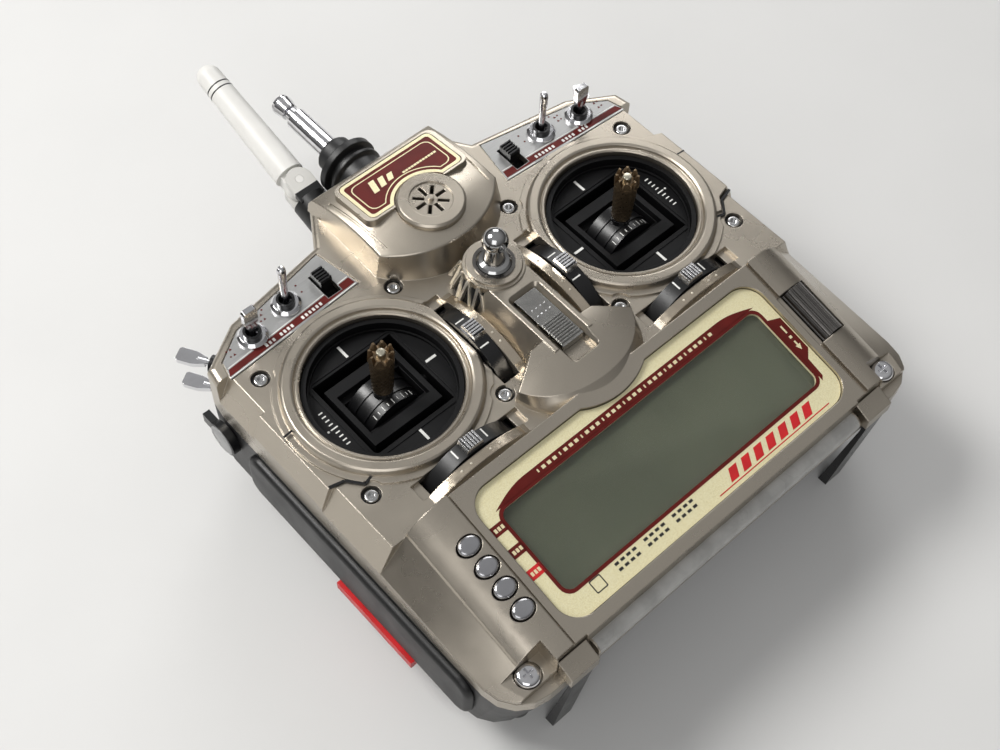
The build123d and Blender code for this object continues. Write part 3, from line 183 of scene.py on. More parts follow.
def make_brushed(name, color, roughness):
    """Metal brushed along the x axis."""
    r = Recipe(name).soften(0.15 * MM)
    lines = r.noise(1.0, 3, r.stretched((120.0, 6000.0, 6000.0)))
    r.link(Base_Color=r.mix(r.ramp(lines, 0, 1, 0.3, 0.7), [c * 0.82 for c in color], color))
    r.link(Roughness=r.ramp(lines, roughness - 0.06, roughness + 0.08, 0.3, 0.7)).set(Metallic=0.95)
    return r.bump(lines, 0.004 * MM).material


def make_label():
    """Pale printed foil with a fine sparkle."""
    r = Recipe("label_foil")
    grains = r.node("ShaderNodeTexVoronoi", {"Vector": r.coords, "Scale": 1 / (0.28 * MM)})
    glint = r.ramp(grains.outputs["Distance"], 0, 1, 0.1, 0.5)
    patches = r.ramp(r.noise(0.5 * MM, 3), 0, 1, 0.3, 0.7)
    base = r.mix(patches, (0.70, 0.63, 0.37), (0.80, 0.74, 0.47))
    r.link(Base_Color=r.mix(glint, (0.88, 0.84, 0.62), base))
    r.link(Roughness=r.ramp(glint, 0.25, 0.45)).set(Metallic=0.25)
    return r.bump(glint, 0.004 * MM).material


def make_glass():
    """Clear window over the display."""
    r = Recipe("window_glass")
    r.set(Transmission_Weight=1.0, IOR=1.46)
    smears = r.noise(16 * MM, 3)
    r.link(Base_Color=r.mix(smears, (0.86, 0.9, 0.86), (0.94, 0.96, 0.94)))
    r.link(Roughness=r.ramp(smears, 0.02, 0.09, 0.4, 0.7))
    return r.material


def make_display():
    """Unlit liquid crystal cell with its faint grid of dots."""
    r = Recipe("display_cell")
    grid = r.node(
        "ShaderNodeTexBrick",
        {"Vector": r.coords, "Scale": 1 / (0.62 * MM), "Mortar Size": 0.05, "Brick Width": 1.0,
         "Row Height": 1.0, "Color1": (0.28, 0.292, 0.21, 1), "Color2": (0.29, 0.302, 0.217, 1),
         "Mortar": (0.255, 0.267, 0.192, 1)},
        offset=0.0,
    ).outputs["Color"]
    cloud = r.ramp(r.noise(30 * MM, 2), 0, 0.35, 0.35, 0.7)
    r.link(Base_Color=r.mix(cloud, grid, (0.37, 0.375, 0.27)))
    r.link(Roughness=r.ramp(r.noise(4 * MM), 0.4, 0.55))
    return r.material


def make_bronze():
    """Dark anodised metal of the stick grips."""
    r = Recipe("bronze").soften(0.08 * MM)
    tinted(r, (0.2, 0.145, 0.09), 0.15, 1.2 * MM)
    r.link(Roughness=r.ramp(r.noise(0.8 * MM, 4), 0.26, 0.42, 0.3, 0.7)).set(Metallic=0.9)
    return r.bump(r.noise(0.2 * MM), 0.003 * MM).material


def make_holder():
    """Black foot of the folding antenna with its pale fork."""
    r = Recipe("antenna_holder").soften(0.3 * MM)
    along = r.node("ShaderNodeSeparateXYZ", {0: r.coords}).outputs["Y"]
    fork = r.ramp(along, 0, 1, HOLDER_SPLIT, HOLDER_SPLIT + 0.1 * MM)
    r.link(Base_Color=r.mix(fork, (0.006, 0.006, 0.006), (0.6, 0.59, 0.56)))
    r.link(Roughness=r.ramp(r.noise(5 * MM), 0.34, 0.46))
    return r.bump(r.noise(0.5 * MM), 0.002 * MM).material


def make_cells():
    """Shrink sleeve round the battery cells."""
    r = Recipe("cell_sleeve")
    bands = r.node("ShaderNodeTexWave", {"Vector": r.coords, "Scale": 40.0, "Distortion": 0.4})
    r.link(Base_Color=r.mix(bands.outputs["Fac"], (0.02, 0.03, 0.1), (0.03, 0.05, 0.16)))
    r.link(Roughness=r.ramp(r.noise(3 * MM), 0.25, 0.4))
    return r.material


champagne = make_champagne()
polished_gold = make_chrome("polished_gold", (0.62, 0.54, 0.43), 0.16, 0.25 * MM)
shell = make_plastic("textured_shell", (0.006, 0.006, 0.0065), 0.42, 0.035 * MM, 0.4 * MM, 0.6 * MM)
black = make_plastic("black_plastic", (0.0045, 0.0045, 0.005), 0.3, 0.004 * MM, 0.5 * MM, 0.25 * MM)
rubber = make_plastic("black_rubber", (0.0035, 0.0035, 0.004), 0.42, 0.02 * MM, 0.35 * MM, 0.7 * MM)
white_plastic = make_plastic(
    "white_plastic", (0.72, 0.71, 0.68), 0.42, 0.002 * MM, 0.6 * MM, 0.3 * MM, spread=0.02
)
maroon = make_plastic(
    "maroon_print", (0.1, 0.009, 0.007), 0.4, 0.002 * MM, 0.3 * MM, 0.02 * MM, specular=0.2
)
red = make_plastic("red_insert", (0.52, 0.012, 0.015), 0.36, 0.003 * MM)
white_print = make_plastic("white_print", (0.75, 0.75, 0.72), 0.5, 0.001 * MM, 0.3 * MM, 0.01 * MM)
solder_mask = make_plastic("solder_mask", (0.012, 0.09, 0.03), 0.4, 0.004 * MM)
chrome = make_chrome("chrome")
steel = make_chrome("nut_steel", (0.55, 0.55, 0.55), 0.2)
plated_key = make_chrome("plated_key", (0.46, 0.46, 0.48), 0.17, 0.6 * MM)
rib_silver = make_chrome("rib_silver", (0.92, 0.88, 0.8), 0.3, 0.03 * MM)
edge_silver = make_plastic("edge_silver", (0.4, 0.395, 0.38), 0.3, 0.001 * MM)
gimbal_black = make_plastic(
    "gimbal_black", (0.0025, 0.0025, 0.003), 0.55, 0.004 * MM, 0.5 * MM, 0.25 * MM, specular=0.22
)
grey_metal = make_plastic("grey_metal", (0.3, 0.3, 0.3), 0.3, 0.002 * MM)
plate_silver = make_brushed("plate_silver", (0.4, 0.4, 0.395), 0.4)
dark_chrome = make_chrome("dark_chrome", (0.2, 0.19, 0.18), 0.16)
slider_metal = make_chrome("slider_metal", (0.36, 0.355, 0.34), 0.2)
eyelet_metal = make_chrome("eyelet_metal", (0.45, 0.45, 0.45), 0.12)
tab_silver = make_chrome("tab_silver", (0.72, 0.72, 0.73), 0.24, 0.12 * MM)
pin_metal = make_chrome("pin_metal", (0.5, 0.47, 0.38), 0.3, 0.15 * MM)
stud_white = make_plastic("stud_white", (0.66, 0.6, 0.5), 0.3, 0.001 * MM, 0.3 * MM, 0.1 * MM)
dark_print = make_plastic("dark_print", (0.02, 0.018, 0.016), 0.5, 0.001 * MM, 0.3 * MM, 0.01 * MM)
label_foil = make_label()
bronze = make_bronze()

# what each material slot looks like, and the nodes that look otherwise than their slot
FINISHES = {
    "champagne": champagne,
    "grip_shell": shell,
    "black_plastic": black,
    "black_rubber": rubber,
    "chrome": chrome,
    "silver_plate": plate_silver,
    "silver_plastic": slider_metal,
    "bronze": bronze,
    "label": label_foil,
    "glass": make_glass(),
    "module": make_display(),
    "maroon": maroon,
    "red": red,
    "board": solder_mask,
    "battery": make_cells(),
    "white_rubber": white_plastic,
}
OWN_FINISH = {
    "gimbal_screws": steel,
    "select_roller": dark_chrome,
    "strap_eyelet": eyelet_metal,
    "duck_holder": make_holder(),
}
OWN_FINISH.update({f"menu_key_{i}": plated_key for i in range(1, 5)})
for side_name, side in SIDES:
    OWN_FINISH[f"gimbal_housing_{side_name}"] = gimbal_black
    OWN_FINISH[f"gimbal_cradle_{side_name}"] = gimbal_black

for entry in frame["record"]["subparts"]:
    node = nodes[entry["node"]]
    finish = OWN_FINISH.get(entry["node"], FINISHES[entry["material_slot"]])
    node.data.materials.clear()
    node.data.materials.append(finish)
    node.data.shade_smooth()
    node.data.set_sharp_from_angle(angle=SHARP)


# ---- mesh building, in millimetres on a plane ----------------------------------------------
def plane(origin, normal=(0, 0, 1), across=(1, 0, 0)):
    """Matrix from a plane's own millimetres to the frame: across is its local x."""
    z = Vector(normal).normalized()
    x = Vector(across)
    x = (x - z * x.dot(z)).normalized()
    turn = Matrix((x, z.cross(x), z)).transposed().to_4x4()
    return Matrix.Translation(Vector(origin) * MM) @ turn @ Matrix.Scale(MM, 4)


def rectangle(width, height, x=0.0, y=0.0, turn=0.0):
    """Corners of a rectangle round a point."""
    spin = Matrix.Rotation(turn, 2)
    corners = ((-width, -height), (width, -height), (width, height), (-width, height))
    return [tuple(Vector((x, y)) + spin @ Vector(c) / 2) for c in corners]


def stroke(start, end, width):
    """Outline of a straight line with a width."""
    run = Vector(end) - Vector(start)
    centre = (Vector(start) + Vector(end)) / 2
    return rectangle(run.length, width, *centre, math.atan2(run.y, run.x))


def rounded(width, height, radius, x=0.0, y=0.0, steps=5):
    """Rectangle with round corners."""
    points = []
    for quarter in range(4):
        sign_x = 1 if quarter in (0, 3) else -1
        sign_y = 1 if quarter in (0, 1) else -1
        for step in range(steps + 1):
            angle = math.radians(90 * (quarter + step / steps))
            points.append(
                (
                    x + sign_x * (width / 2 - radius) + radius * math.cos(angle),
                    y + sign_y * (height / 2 - radius) + radius * math.sin(angle),
                )
            )
    return points


def arc(radius, turns, x=0.0, y=0.0):
    """Points round a centre, at these angles from the local x axis."""
    return [(x + radius * math.cos(t), y + radius * math.sin(t)) for t in turns]


def bow(radius, degrees, y=0.0):
    """Points of an arch, at these angles from its top, in degrees."""
    turns = [math.radians(a) for a in degrees]
    return [(radius * math.sin(t), y + radius * math.cos(t)) for t in turns]


def circle(radius, x=0.0, y=0.0, steps=24):
    """Points all round a centre."""
    return arc(radius, [2 * math.pi * k / steps for k in range(steps)], x, y)


class Shape:
    """A mesh made of plates, bands and turned profiles, then placed and tied to a body."""

    def __init__(self):
        self.mesh = bmesh.new()

    def loop(self, outline, height):
        """Vertices along an outline at one height."""
        return [self.mesh.verts.new((x, y, height)) for x, y in outline]

    def wall(self, lower, upper):
        """Faces between two loops of vertices."""
        for i, vertex in enumerate(lower):
            j = (i + 1) % len(lower)
            self.mesh.faces.new((vertex, lower[j], upper[j], upper[i]))

    def plate(self, outline, low, high):
        """Closed outline filled between two heights."""
        bottom = self.loop(outline, low)
        top = self.loop(outline, high)
        self.mesh.faces.new(top)
        self.mesh.faces.new(bottom[::-1])
        self.wall(bottom, top)

    def band(self, outer, inner, low, high):
        """The space between two outlines that have as many points each."""
        loops = [self.loop(outer, low), self.loop(outer, high), self.loop(inner, high), self.loop(inner, low)]
        for first, second in zip(loops, loops[1:] + loops[:1]):
            self.wall(first, second)

    def turned(self, profile, x=0.0, y=0.0, steps=32):
        """Profile of (radius, height) points turned about a local upright axis."""
        rings = [self.loop(circle(radius, x, y, steps), height) for radius, height in profile]
        for first, second in zip(rings, rings[1:]):
            self.wall(first, second)
        self.mesh.faces.new(rings[0][::-1])
        self.mesh.faces.new(rings[-1])

    def moved(self, made, basis):
        """Moves every vertex but the first ones that were already made."""
        for vertex in list(self.mesh.verts)[made:]:
            vertex.co = basis @ vertex.co

    def place(self, name, where, material, slot, body="case"):
        """Makes the piece, in the frame, riding on its body."""
        bmesh.ops.recalc_face_normals(self.mesh, faces=self.mesh.faces)
        mesh = bpy.data.meshes.new(name)
        self.mesh.to_mesh(mesh)
        self.mesh.free()
        mesh.transform(where)
        mesh.materials.append(material)
        mesh.shade_smooth()
        mesh.set_sharp_from_angle(angle=SHARP)
        piece = bpy.data.objects.new(name, mesh)
        bpy.context.scene.collection.objects.link(piece)
        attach(piece, body)
        return piece


# ---- places on the transmitter, in millimetres ----------------------------------------------
SLOPE = math.radians(11.95)
PANEL_TOP = (0, -44, DECK_MM + 6)
PANEL_NORMAL = (0, -math.sin(SLOPE), math.cos(SLOPE))
PRINT = 0.06  # how far a print stands out of the surface
SUNK = 0.02  # and how far it reaches into it


def on_panel(y):
    """Local y on the display panel for a depth y of the frame."""
    return (y - PANEL_TOP[1]) / math.cos(SLOPE)


# ---- gimbals ---------------------------------------------------------------------------------
CUP_FLOOR = -4.0
CUP_R = 23.5
HOLE_RIM = 34.6
PIVOT_DEPTH = 14.0
DRUM_R = 11.0
GRIP_LENGTH = 17.6


def make_cup_marks(side_name, side):
    """White lines and scale round the square hole in the cup."""
    marks = Shape()
    low, high = CUP_FLOOR - SUNK, CUP_FLOOR + PRINT
    for y in (-1, 1):
        marks.plate(rectangle(0.9, 5.6, 0, y * 19.6), low, high)
    marks.plate(rectangle(4.4, 0.9, -side * 19.3, 0), low, high)
    for step in range(-4, 5):
        length = 2.6 if step == 0 else 1.5
        marks.plate(rectangle(length, 0.45, side * 19.4, step * 1.7), low, high)
    marks.plate(circle(0.4, side * 21.6, 0, 12), low, high)
    marks.place(f"cup_marks_{side_name}", plane((side * STICK_X, 0, DECK_MM)), white_print, "white_rubber")


def make_cup_rim(side_name, side):
    """Raised rim round the square hole, and a step near the cup's wall."""
    rim = Shape()
    inner = HOLE_RIM - 1.4
    low = CUP_FLOOR - 0.1
    rim.band(rounded(HOLE_RIM, HOLE_RIM, 3), rounded(inner, inner, 2.4), low, CUP_FLOOR + 0.25)
    rim.band(circle(CUP_R, steps=64), circle(CUP_R - 0.6, steps=64), low, CUP_FLOOR + 1.2)
    rim.place(f"cup_rim_{side_name}", plane((side * STICK_X, 0, DECK_MM)), gimbal_black, "black_plastic")


def make_drum_marks(side_name, side):
    """White ticks round the stick's drum, and its two raised ribs."""
    marks = Shape()
    ribs = Shape()
    for step in range(9):
        made = len(marks.mesh.verts)
        marks.plate(rectangle(0.26, 1.2 if step % 2 else 1.9, 0, -4.6), -0.05, PRINT)
        angle = math.radians(-40 + 10 * step)
        marks.moved(made, Matrix.Rotation(angle, 4, "Y") @ Matrix.Translation((0, 0, DRUM_R)))
    points = bow(DRUM_R + 0.45, range(-60, 61, 6))
    profile = points + [(x * 0.9, z * 0.9) for x, z in reversed(points)]
    for y in (-2.2, 2.4):
        front = [ribs.mesh.verts.new((x, y - 0.4, z)) for x, z in profile]
        back = [ribs.mesh.verts.new((x, y + 0.4, z)) for x, z in profile]
        ribs.mesh.faces.new(front)
        ribs.mesh.faces.new(back[::-1])
        ribs.wall(front, back)
    where = plane((side * STICK_X, 0, DECK_MM - PIVOT_DEPTH))
    marks.place(f"drum_marks_{side_name}", where, white_print, "white_rubber", f"stick_{side_name}")
    ribs.place(f"drum_ribs_{side_name}", where, black, "black_plastic", f"stick_{side_name}")


def make_grip(side_name, side):
    """Knurled grip with a crown of points round its centre pin."""
    grip = Shape()
    columns, rows = 60, 34
    length = GRIP_LENGTH
    rings = []
    for row in range(rows + 1):
        height = length * row / rows
        smooth = 3.25 + 0.65 * height / length
        ring = []
        for column in range(columns):
            diamond = abs((column + row) % 4 - 2) + abs((column - row) % 4 - 2)
            radius = smooth + (0.11 * (diamond - 2) if 0 < row < rows else -0.3)
            angle = 2 * math.pi * column / columns
            ring.append((radius * math.cos(angle), radius * math.sin(angle)))
        rings.append(grip.loop(ring, height))
    for lower, upper in zip(rings, rings[1:]):
        grip.wall(lower, upper)
    grip.mesh.faces.new(rings[0][::-1])
    grip.mesh.faces.new(rings[-1])
    grip.turned([(3.6, length - 0.6), (3.9, length), (3.9, length + 0.5), (2.4, length + 0.7)], steps=40)
    for point in range(8):
        angle = math.radians(45 * point)
        out = Vector((math.cos(angle), math.sin(angle)))
        side_way = Vector((-out.y, out.x))
        base = ((4.1, -1.6), (4.1, 1.6), (2.1, 0.8), (2.1, -0.8))
        tip = ((3.9, -0.35), (3.9, 0.35), (3.0, 0.25), (3.0, -0.25))
        lower = grip.loop([tuple(out * a + side_way * b) for a, b in base], length)
        upper = grip.loop([tuple(out * a + side_way * b) for a, b in tip], length + 3.1)
        grip.mesh.faces.new(upper)
        grip.mesh.faces.new(lower[::-1])
        grip.wall(lower, upper)
    where = plane((side * STICK_X, 0, DECK_MM - 1))
    piece = grip.place(f"knurled_grip_{side_name}", where, bronze, "bronze", f"stick_{side_name}")
    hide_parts(f"stick_grip_{side_name}")
    pin = Shape()
    pin.turned([(1.5, length), (1.5, length + 2.6), (1.25, length + 2.9), (0.5, length + 3.0)], steps=20)
    pin.place(f"grip_pin_{side_name}", where, pin_metal, "bronze", f"stick_{side_name}")


for side_name, side in SIDES:
    make_cup_marks(side_name, side)
    make_cup_rim(side_name, side)
    make_drum_marks(side_name, side)
    make_grip(side_name, side)


# ---- trims -----------------------------------------------------------------------------------
TRIM_DRUM_R = 20.0
TRIM_TOP = 5.8
ARCH_RISE = 4.6
ARCH_HALF = 19.0
ARCH_R = (ARCH_HALF**2 + ARCH_RISE**2) / (2 * ARCH_RISE)
ARCH_STRIP = (3.2, 6.3)  # how far beside the drum the arch's polished strip starts and ends
# name, x, y, whether the drum rolls along x, and the side of the arch
TRIMS = (
    ("left_horizontal", -47.2, -35.3, True, -1),
    ("right_horizontal", 47.2, -35.3, True, -1),
    ("left_vertical", -19.8, -5.7, False, 1),
    ("right_vertical", 19.8, -5.7, False, -1),
)


def make_trim(name, x, y, along_x, arch_side):
    """Ridged metallic tab and white marks on the drum; polished strip and studs on the arch."""
    if along_x:
        where = plane((x, y, DECK_MM), (0, -1, 0), (1, 0, 0))
    else:
        where = plane((x, y, DECK_MM), (1, 0, 0), (0, 1, 0))
    tab = Shape()
    outline = [(3.6, TRIM_TOP - 1.0), (2.9, TRIM_TOP + 1.9)]
    for tooth in range(5):
        start = 2.7 - 1.08 * tooth
        outline += [(start, TRIM_TOP + 2.25), (start - 0.62, TRIM_TOP + 2.25), (start - 0.7, TRIM_TOP + 1.8)]
    outline += [(-2.9, TRIM_TOP + 1.9), (-3.6, TRIM_TOP - 1.0)]
    tab.plate(outline, -2.3, 2.3)
    tab.place(f"trim_tab_{name}", where, tab_silver, "silver_plastic", f"trim_{name}")
    marks = Shape()
    for angle in (-17, 17):
        turn = Matrix.Rotation(-math.radians(angle), 2)
        centre = turn @ Vector((0, TRIM_DRUM_R)) + Vector((0, TRIM_TOP - TRIM_DRUM_R))
        marks.plate(rectangle(0.5, 0.16, *centre, -math.radians(angle)), -2.2, 1.2)
    marks.place(f"trim_marks_{name}", where, white_print, "white_rubber", f"trim_{name}")
    strip = Shape()
    centre_z = ARCH_RISE - ARCH_R
    upper = bow(ARCH_R + 0.12, range(-24, 25, 2), centre_z)
    lower = bow(ARCH_R - 0.3, range(-24, 25, 2), centre_z)
    outward = -arch_side if along_x else arch_side
    near, far = sorted(outward * across for across in ARCH_STRIP)
    strip.plate(upper + lower[::-1], near, far)
    strip.place(f"arch_strip_{name}", where, polished_gold, "champagne")
    studs = Shape()
    for step in (-2, -1, 1, 2):
        t = math.radians(5.2 * step)
        reach = ARCH_R + 0.1
        out = Vector((math.sin(t), math.cos(t)))
        made = len(studs.mesh.verts)
        studs.turned([(0.42, 0), (0.36, 0.22), (0.2, 0.34)], steps=12)
        basis = Matrix(((out.y, 0, out.x), (-out.x, 0, out.y), (0, 1, 0))).to_4x4()
        basis.translation = (reach * out.x, centre_z + reach * out.y, (near + far) / 2)
        studs.moved(made, basis)
    studs.place(f"arch_studs_{name}", where, stud_white, "champagne")


for trim in TRIMS:
    make_trim(*trim)


# ---- label -----------------------------------------------------------------------------------
LABEL_FACE = -1.4
WINDOW_HALF = 55.0
WINDOW_TOP = on_panel(-57)
WINDOW_BOTTOM = on_panel(-87)
LABEL_PLANE = plane(PANEL_TOP, PANEL_NORMAL)
TAB_X = -58.2
TAB_YS = (-16.9, -25.1, -33.2)


def make_label_print():
    """Border round the window with its wide top band, tabs beside the keys and an arrow block."""
    low, high = LABEL_FACE - SUNK, LABEL_FACE + PRINT
    middle_y = (WINDOW_TOP + WINDOW_BOTTOM) / 2
    height = WINDOW_TOP - WINDOW_BOTTOM
    frame_print = Shape()
    outer = rounded(2 * WINDOW_HALF + 2.4, height + 2.4, 4, 0, middle_y)
    inner = rounded(2 * WINDOW_HALF, height, 3, 0, middle_y)
    frame_print.band(outer, inner, low, high)
    rise = []
    for step in range(9):
        t = step / 8
        rise.append((WINDOW_HALF + 0.6 - 14 * t, WINDOW_TOP + 0.9 + 3.4 * math.sin(t * math.pi / 2)))
    frame_print.plate(rise + [(-x, y) for x, y in reversed(rise)], low, high)
    for y in TAB_YS[:2]:
        frame_print.plate(rectangle(5.4, 3.4, TAB_X, y), low, high)
    frame_print.plate(
        [(56, -18.6), (60.4, -20.4), (60.4, -33.4), (57.6, -36.2), (57.3, -43.0), (56, -44.4)], low, high
    )
    frame_print.place("label_print", LABEL_PLANE, maroon, "maroon")
    accents = Shape()
    accents.plate(rectangle(5.4, 3.4, TAB_X, TAB_YS[2]), low, high)
    for step in range(7):
        x = 8 + 5.6 * step
        accents.plate([(x, -50.2), (x + 3.4, -50.2), (x + 5.6, -46.3), (x + 2.2, -46.3)], low, high)
    accents.plate(stroke((2, -51.0), (52, -51.0), 0.35), low, high)
    accents.place("label_accents", LABEL_PLANE, red, "red")
    pale = Shape()
    top = LABEL_FACE + 2 * PRINT
    for y in TAB_YS:
        for dash in range(3):
            pale.plate(rectangle(0.9, 1.3, TAB_X - 1.2 + 1.3 * dash, y), low, top)
    pale.plate(stroke((58.3, -22.6), (58.3, -25.6), 0.6), low, top)
    pale.plate(stroke((58.3, -29.0), (58.3, -30.6), 0.6), low, top)
    pale.plate([(57.3, -30.6), (59.3, -30.6), (58.3, -32.6)][::-1], low, top)
    pale.plate(rectangle(1.0, 1.0, 58.3, -27.3), low, top)
    for step in range(34):
        pale.plate(rectangle(1.3 if step % 4 else 0.5, 1.1, -37 + 2.25 * step, WINDOW_TOP + 2.7), low, top)
    pale.place("label_marks", LABEL_PLANE, label_foil, "label")
    dark = Shape()
    for row, y in enumerate((-46.4, -48.4)):
        for step in range(15):
            if (step * (row + 2)) % 5:
                dark.plate(rectangle(1.5, 0.9, -40 + 2.4 * step, y), low, high)
    dark.band(rounded(4.4, 4.4, 0.4, -46, -47.4, 2), rounded(3.7, 3.7, 0.3, -46, -47.4, 2), low, high)
    dark.place("label_dark_marks", LABEL_PLANE, dark_print, "black_plastic")


make_label_print()


# ---- badge -----------------------------------------------------------------------------------
BADGE_TILT = math.radians(-7.6)
BADGE_PLANE = plane((0, 52.4, DECK_MM + 12.36), (0, -math.sin(BADGE_TILT), math.cos(BADGE_TILT)))
BADGE_FACE = 0.3
NOTCH_Y = -15.2


def badge_outline(inset, corner):
    """Outline of the badge moved in, with the speaker's round notch in its lower side."""
    half_x, half_y = 19.3 - inset, 9.2 - inset
    notch = 11.85 + inset
    reach = math.asin((-half_y - NOTCH_Y) / notch)
    turns = [math.pi - reach - (math.pi - 2 * reach) * step / 16 for step in range(17)]
    points = arc(notch, turns, 0, NOTCH_Y)
    for sign_x, sign_y, start in ((1, -1, -90), (1, 1, 0), (-1, 1, 90), (-1, -1, 180)):
        turns = [math.radians(start + 30 * step) for step in range(4)]
        points += arc(corner, turns, sign_x * (half_x - corner), sign_y * (half_y - corner))
    return points


def make_badge_print():
    """Pale border, fine inner line and a plain emblem of slanted bars."""
    pale = Shape()
    low, high = BADGE_FACE - SUNK, BADGE_FACE + PRINT
    pale.band(badge_outline(0.05, 1.9), badge_outline(1.25, 1.2), low, high + PRINT)
    pale.band(badge_outline(2.5, 2.6), badge_outline(2.85, 2.4), low, high)
    for step, height in enumerate((5.4, 4.2, 3.0)):
        x = -11.5 + 3.4 * step
        lift = (5.4 - height) / 2
        foot, head = -0.8 + lift, 4.6 - lift
        pale.plate([(x, foot), (x + 2.2, foot), (x + 3.6, head), (x + 1.4, head)], low, high)
    for step in range(12):
        pale.plate(rectangle(0.95, 0.8, 1.6 + 1.2 * step, 0.2), low, high)
    pale.place("badge_print", BADGE_PLANE, label_foil, "label")


make_badge_print()


# ---- switch plates, screws, saddles ----------------------------------------------------------
SLOT_NOTCH = [(43.9, 38.31), (43.9, 36.5), (38.1, 36.5), (38.1, 38.71)]  # round the slider's slot
SCREW = 26.7
SADDLE_EDGE = ((69.6, -20.4), (74.0, -22.0), (77.7, -23.0), (81.6, -18.2), (86.6, -16.9))
SADDLE_STEP = ((81.4, 5.0), (86.4, 4.6))
SADDLE_RISE = 1.9


def make_plate_print(side_name, side):
    """Dark red strip with pale edges, and small marks beside each switch."""
    deck = plane((0, 0, DECK_MM))

    def there(points):
        """The outline on this side, still running anticlockwise."""
        made = [(side * x, y) for x, y in points]
        return made if side > 0 else made[::-1]

    strip = Shape()
    outline = [(33.3, 36.2), (85.0, 33.3), (83.9, 35.6), *SLOT_NOTCH, (33.8, 39.0)]
    strip.plate(there(outline), -SUNK, PRINT)
    strip.place(f"plate_strip_{side_name}", deck, maroon, "maroon")
    lines = Shape()
    for start, end in (
        ((33.9, 39.5), (38.1, 39.21)),
        ((43.9, 38.82), (83.7, 36.1)),
        ((33.3, 35.7), (45.0, 35.0)),
        ((60.5, 34.2), (85.2, 32.8)),
    ):
        lines.plate(there(stroke(start, end, 0.3)), -SUNK, PRINT)
    for step in range(16):
        x = 47 + 1.5 * step
        if step not in (6, 7, 12):
            lines.plate(there(rectangle(0.85, 1.2, x, 36.6 - 0.062 * (x - 47))), -SUNK, 2 * PRINT)
    lines.place(f"plate_lines_{side_name}", deck, white_print, "white_rubber")
    marks = Shape()
    for x, y in ((63.4, 45.2), (63.4, 43.2), (78.6, 41.0), (78.6, 38.6)):
        marks.plate(there([(x, y), (x + 1.0, y), (x + 0.5, y + 0.9)]), -SUNK, PRINT)
        marks.plate(there(rectangle(0.55, 0.55, x + 1.9, y + 0.4)), -SUNK, PRINT)
    for x, y in ((48.6, 47.4), (48.6, 44.2), (62.6, 47.0)):
        marks.plate(circle(0.35, side * x, y, 10), -SUNK, PRINT)
    marks.place(f"plate_marks_{side_name}", deck, maroon, "maroon")


def make_counterbore_shade(side_name, side):
    """Painted shade: black rings down in the counterbores of the gimbal's screws, where the counterbores lie
    in shade.
    """
    rings = Shape()
    for x in (-SCREW, SCREW):
        for y in (-SCREW, SCREW):
            # painted shade: a black ring in each screw's counterbore
            rings.band(circle(3.08, x, y), circle(2.32, x, y), -2.2, -1.3)
    rings.place(f"screw_counterbore_shade_{side_name}", plane((side * STICK_X, 0, DECK_MM)), black, "black_plastic")


def make_saddle_shade_and_groove(side_name, side):
    """Black strip along the lower edge of the saddle, a painted shadow of the saddle's step, and a black
    groove across its top.
    """
    shade_and_groove = Shape()
    # painted shadow: black strip along the saddle's lower edge, where the side of its step lies in shade
    for start, end in zip(SADDLE_EDGE, SADDLE_EDGE[1:]):
        shade_and_groove.plate(stroke((side * start[0], start[1]), (side * end[0], end[1]), 0.85), -0.1, 0.75)
    # the black groove across the saddle's top is the saddle's own
    start, end = SADDLE_STEP
    line = stroke((side * start[0], start[1]), (side * end[0], end[1]), 0.6)
    shade_and_groove.plate(line, SADDLE_RISE - 0.2, SADDLE_RISE + PRINT)
    shade_and_groove.place(f"saddle_shade_and_groove_{side_name}", plane((0, 0, DECK_MM)), black, "black_plastic")


for side_name, side in SIDES:
    make_plate_print(side_name, side)
    make_counterbore_shade(side_name, side)
    make_saddle_shade_and_groove(side_name, side)


# ---- small trim: slider, eyelet, side levers, edge bar, antenna ------------------------------
EYELET = (0, 6.8, DECK_MM)
FAN_FOOT_R, FAN_FOOT = 13.2, 2.6  # radius and height of the woven ribs' lower ends
FAN_HEAD_R, FAN_HEAD = 9.5, 9.9
FAN = (134, 156, 178, 200)  # directions of the ribs, in degrees
EDGE_BAR = (0, -100.6, 48.2)
EDGE_BAR_R = 3.42
EDGE_BAR_HALF = 57.4
DUCK_LIFT = math.radians(11.5)
DUCK_DIRECTION = Vector((0.04, math.cos(DUCK_LIFT), math.sin(DUCK_LIFT))).normalized()
DUCK_PIN = Vector((-15, 68, 38)) + 24.6 * DUCK_DIRECTION


def make_slider_dots():
    """Raised dots on the power slider."""
    dots = Shape()
    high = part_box("power_slider")[1]
    face = high[2] / MM - 0.5
    back = high[1] / MM
    profile = [(0.34, face - 0.05), (0.3, face + 0.25), (0.15, face + 0.36)]
    for row in range(2):
        for step in range(4):
            dots.turned(profile, 2.6 - 1.7 * step, back - 6.4 - 2.6 * row, 10)
    dots.place("slider_dots", plane((0, 0, 0)), chrome, "silver_plastic", "power_slider")


def make_eyelet_seat():
    """Dark bevelled ring that the strap eyelet stands in."""
    seat = Shape()
    seat.band(circle(6.9, steps=48), circle(5.75, steps=48), 11.2, 12.0)
    seat.place("eyelet_seat", plane(EYELET), dark_chrome, "chrome")


def make_lever_disc(side_name, side):
    """Grey faced disc with a fine groove on the side lever."""
    disc = Shape()
    profile = [(5.5, -0.1), (5.5, 0.25), (5.2, 0.4), (4.6, 0.4), (4.4, 0.25), (4.2, 0.4), (1.0, 0.45)]
    disc.turned(profile, steps=40)
    where = plane((side * 93.2, 32, 34), (side, 0, 0), (0, 1, 0))
    disc.place(f"lever_disc_{side_name}", where, grey_metal, "chrome", f"side_lever_{side_name}")


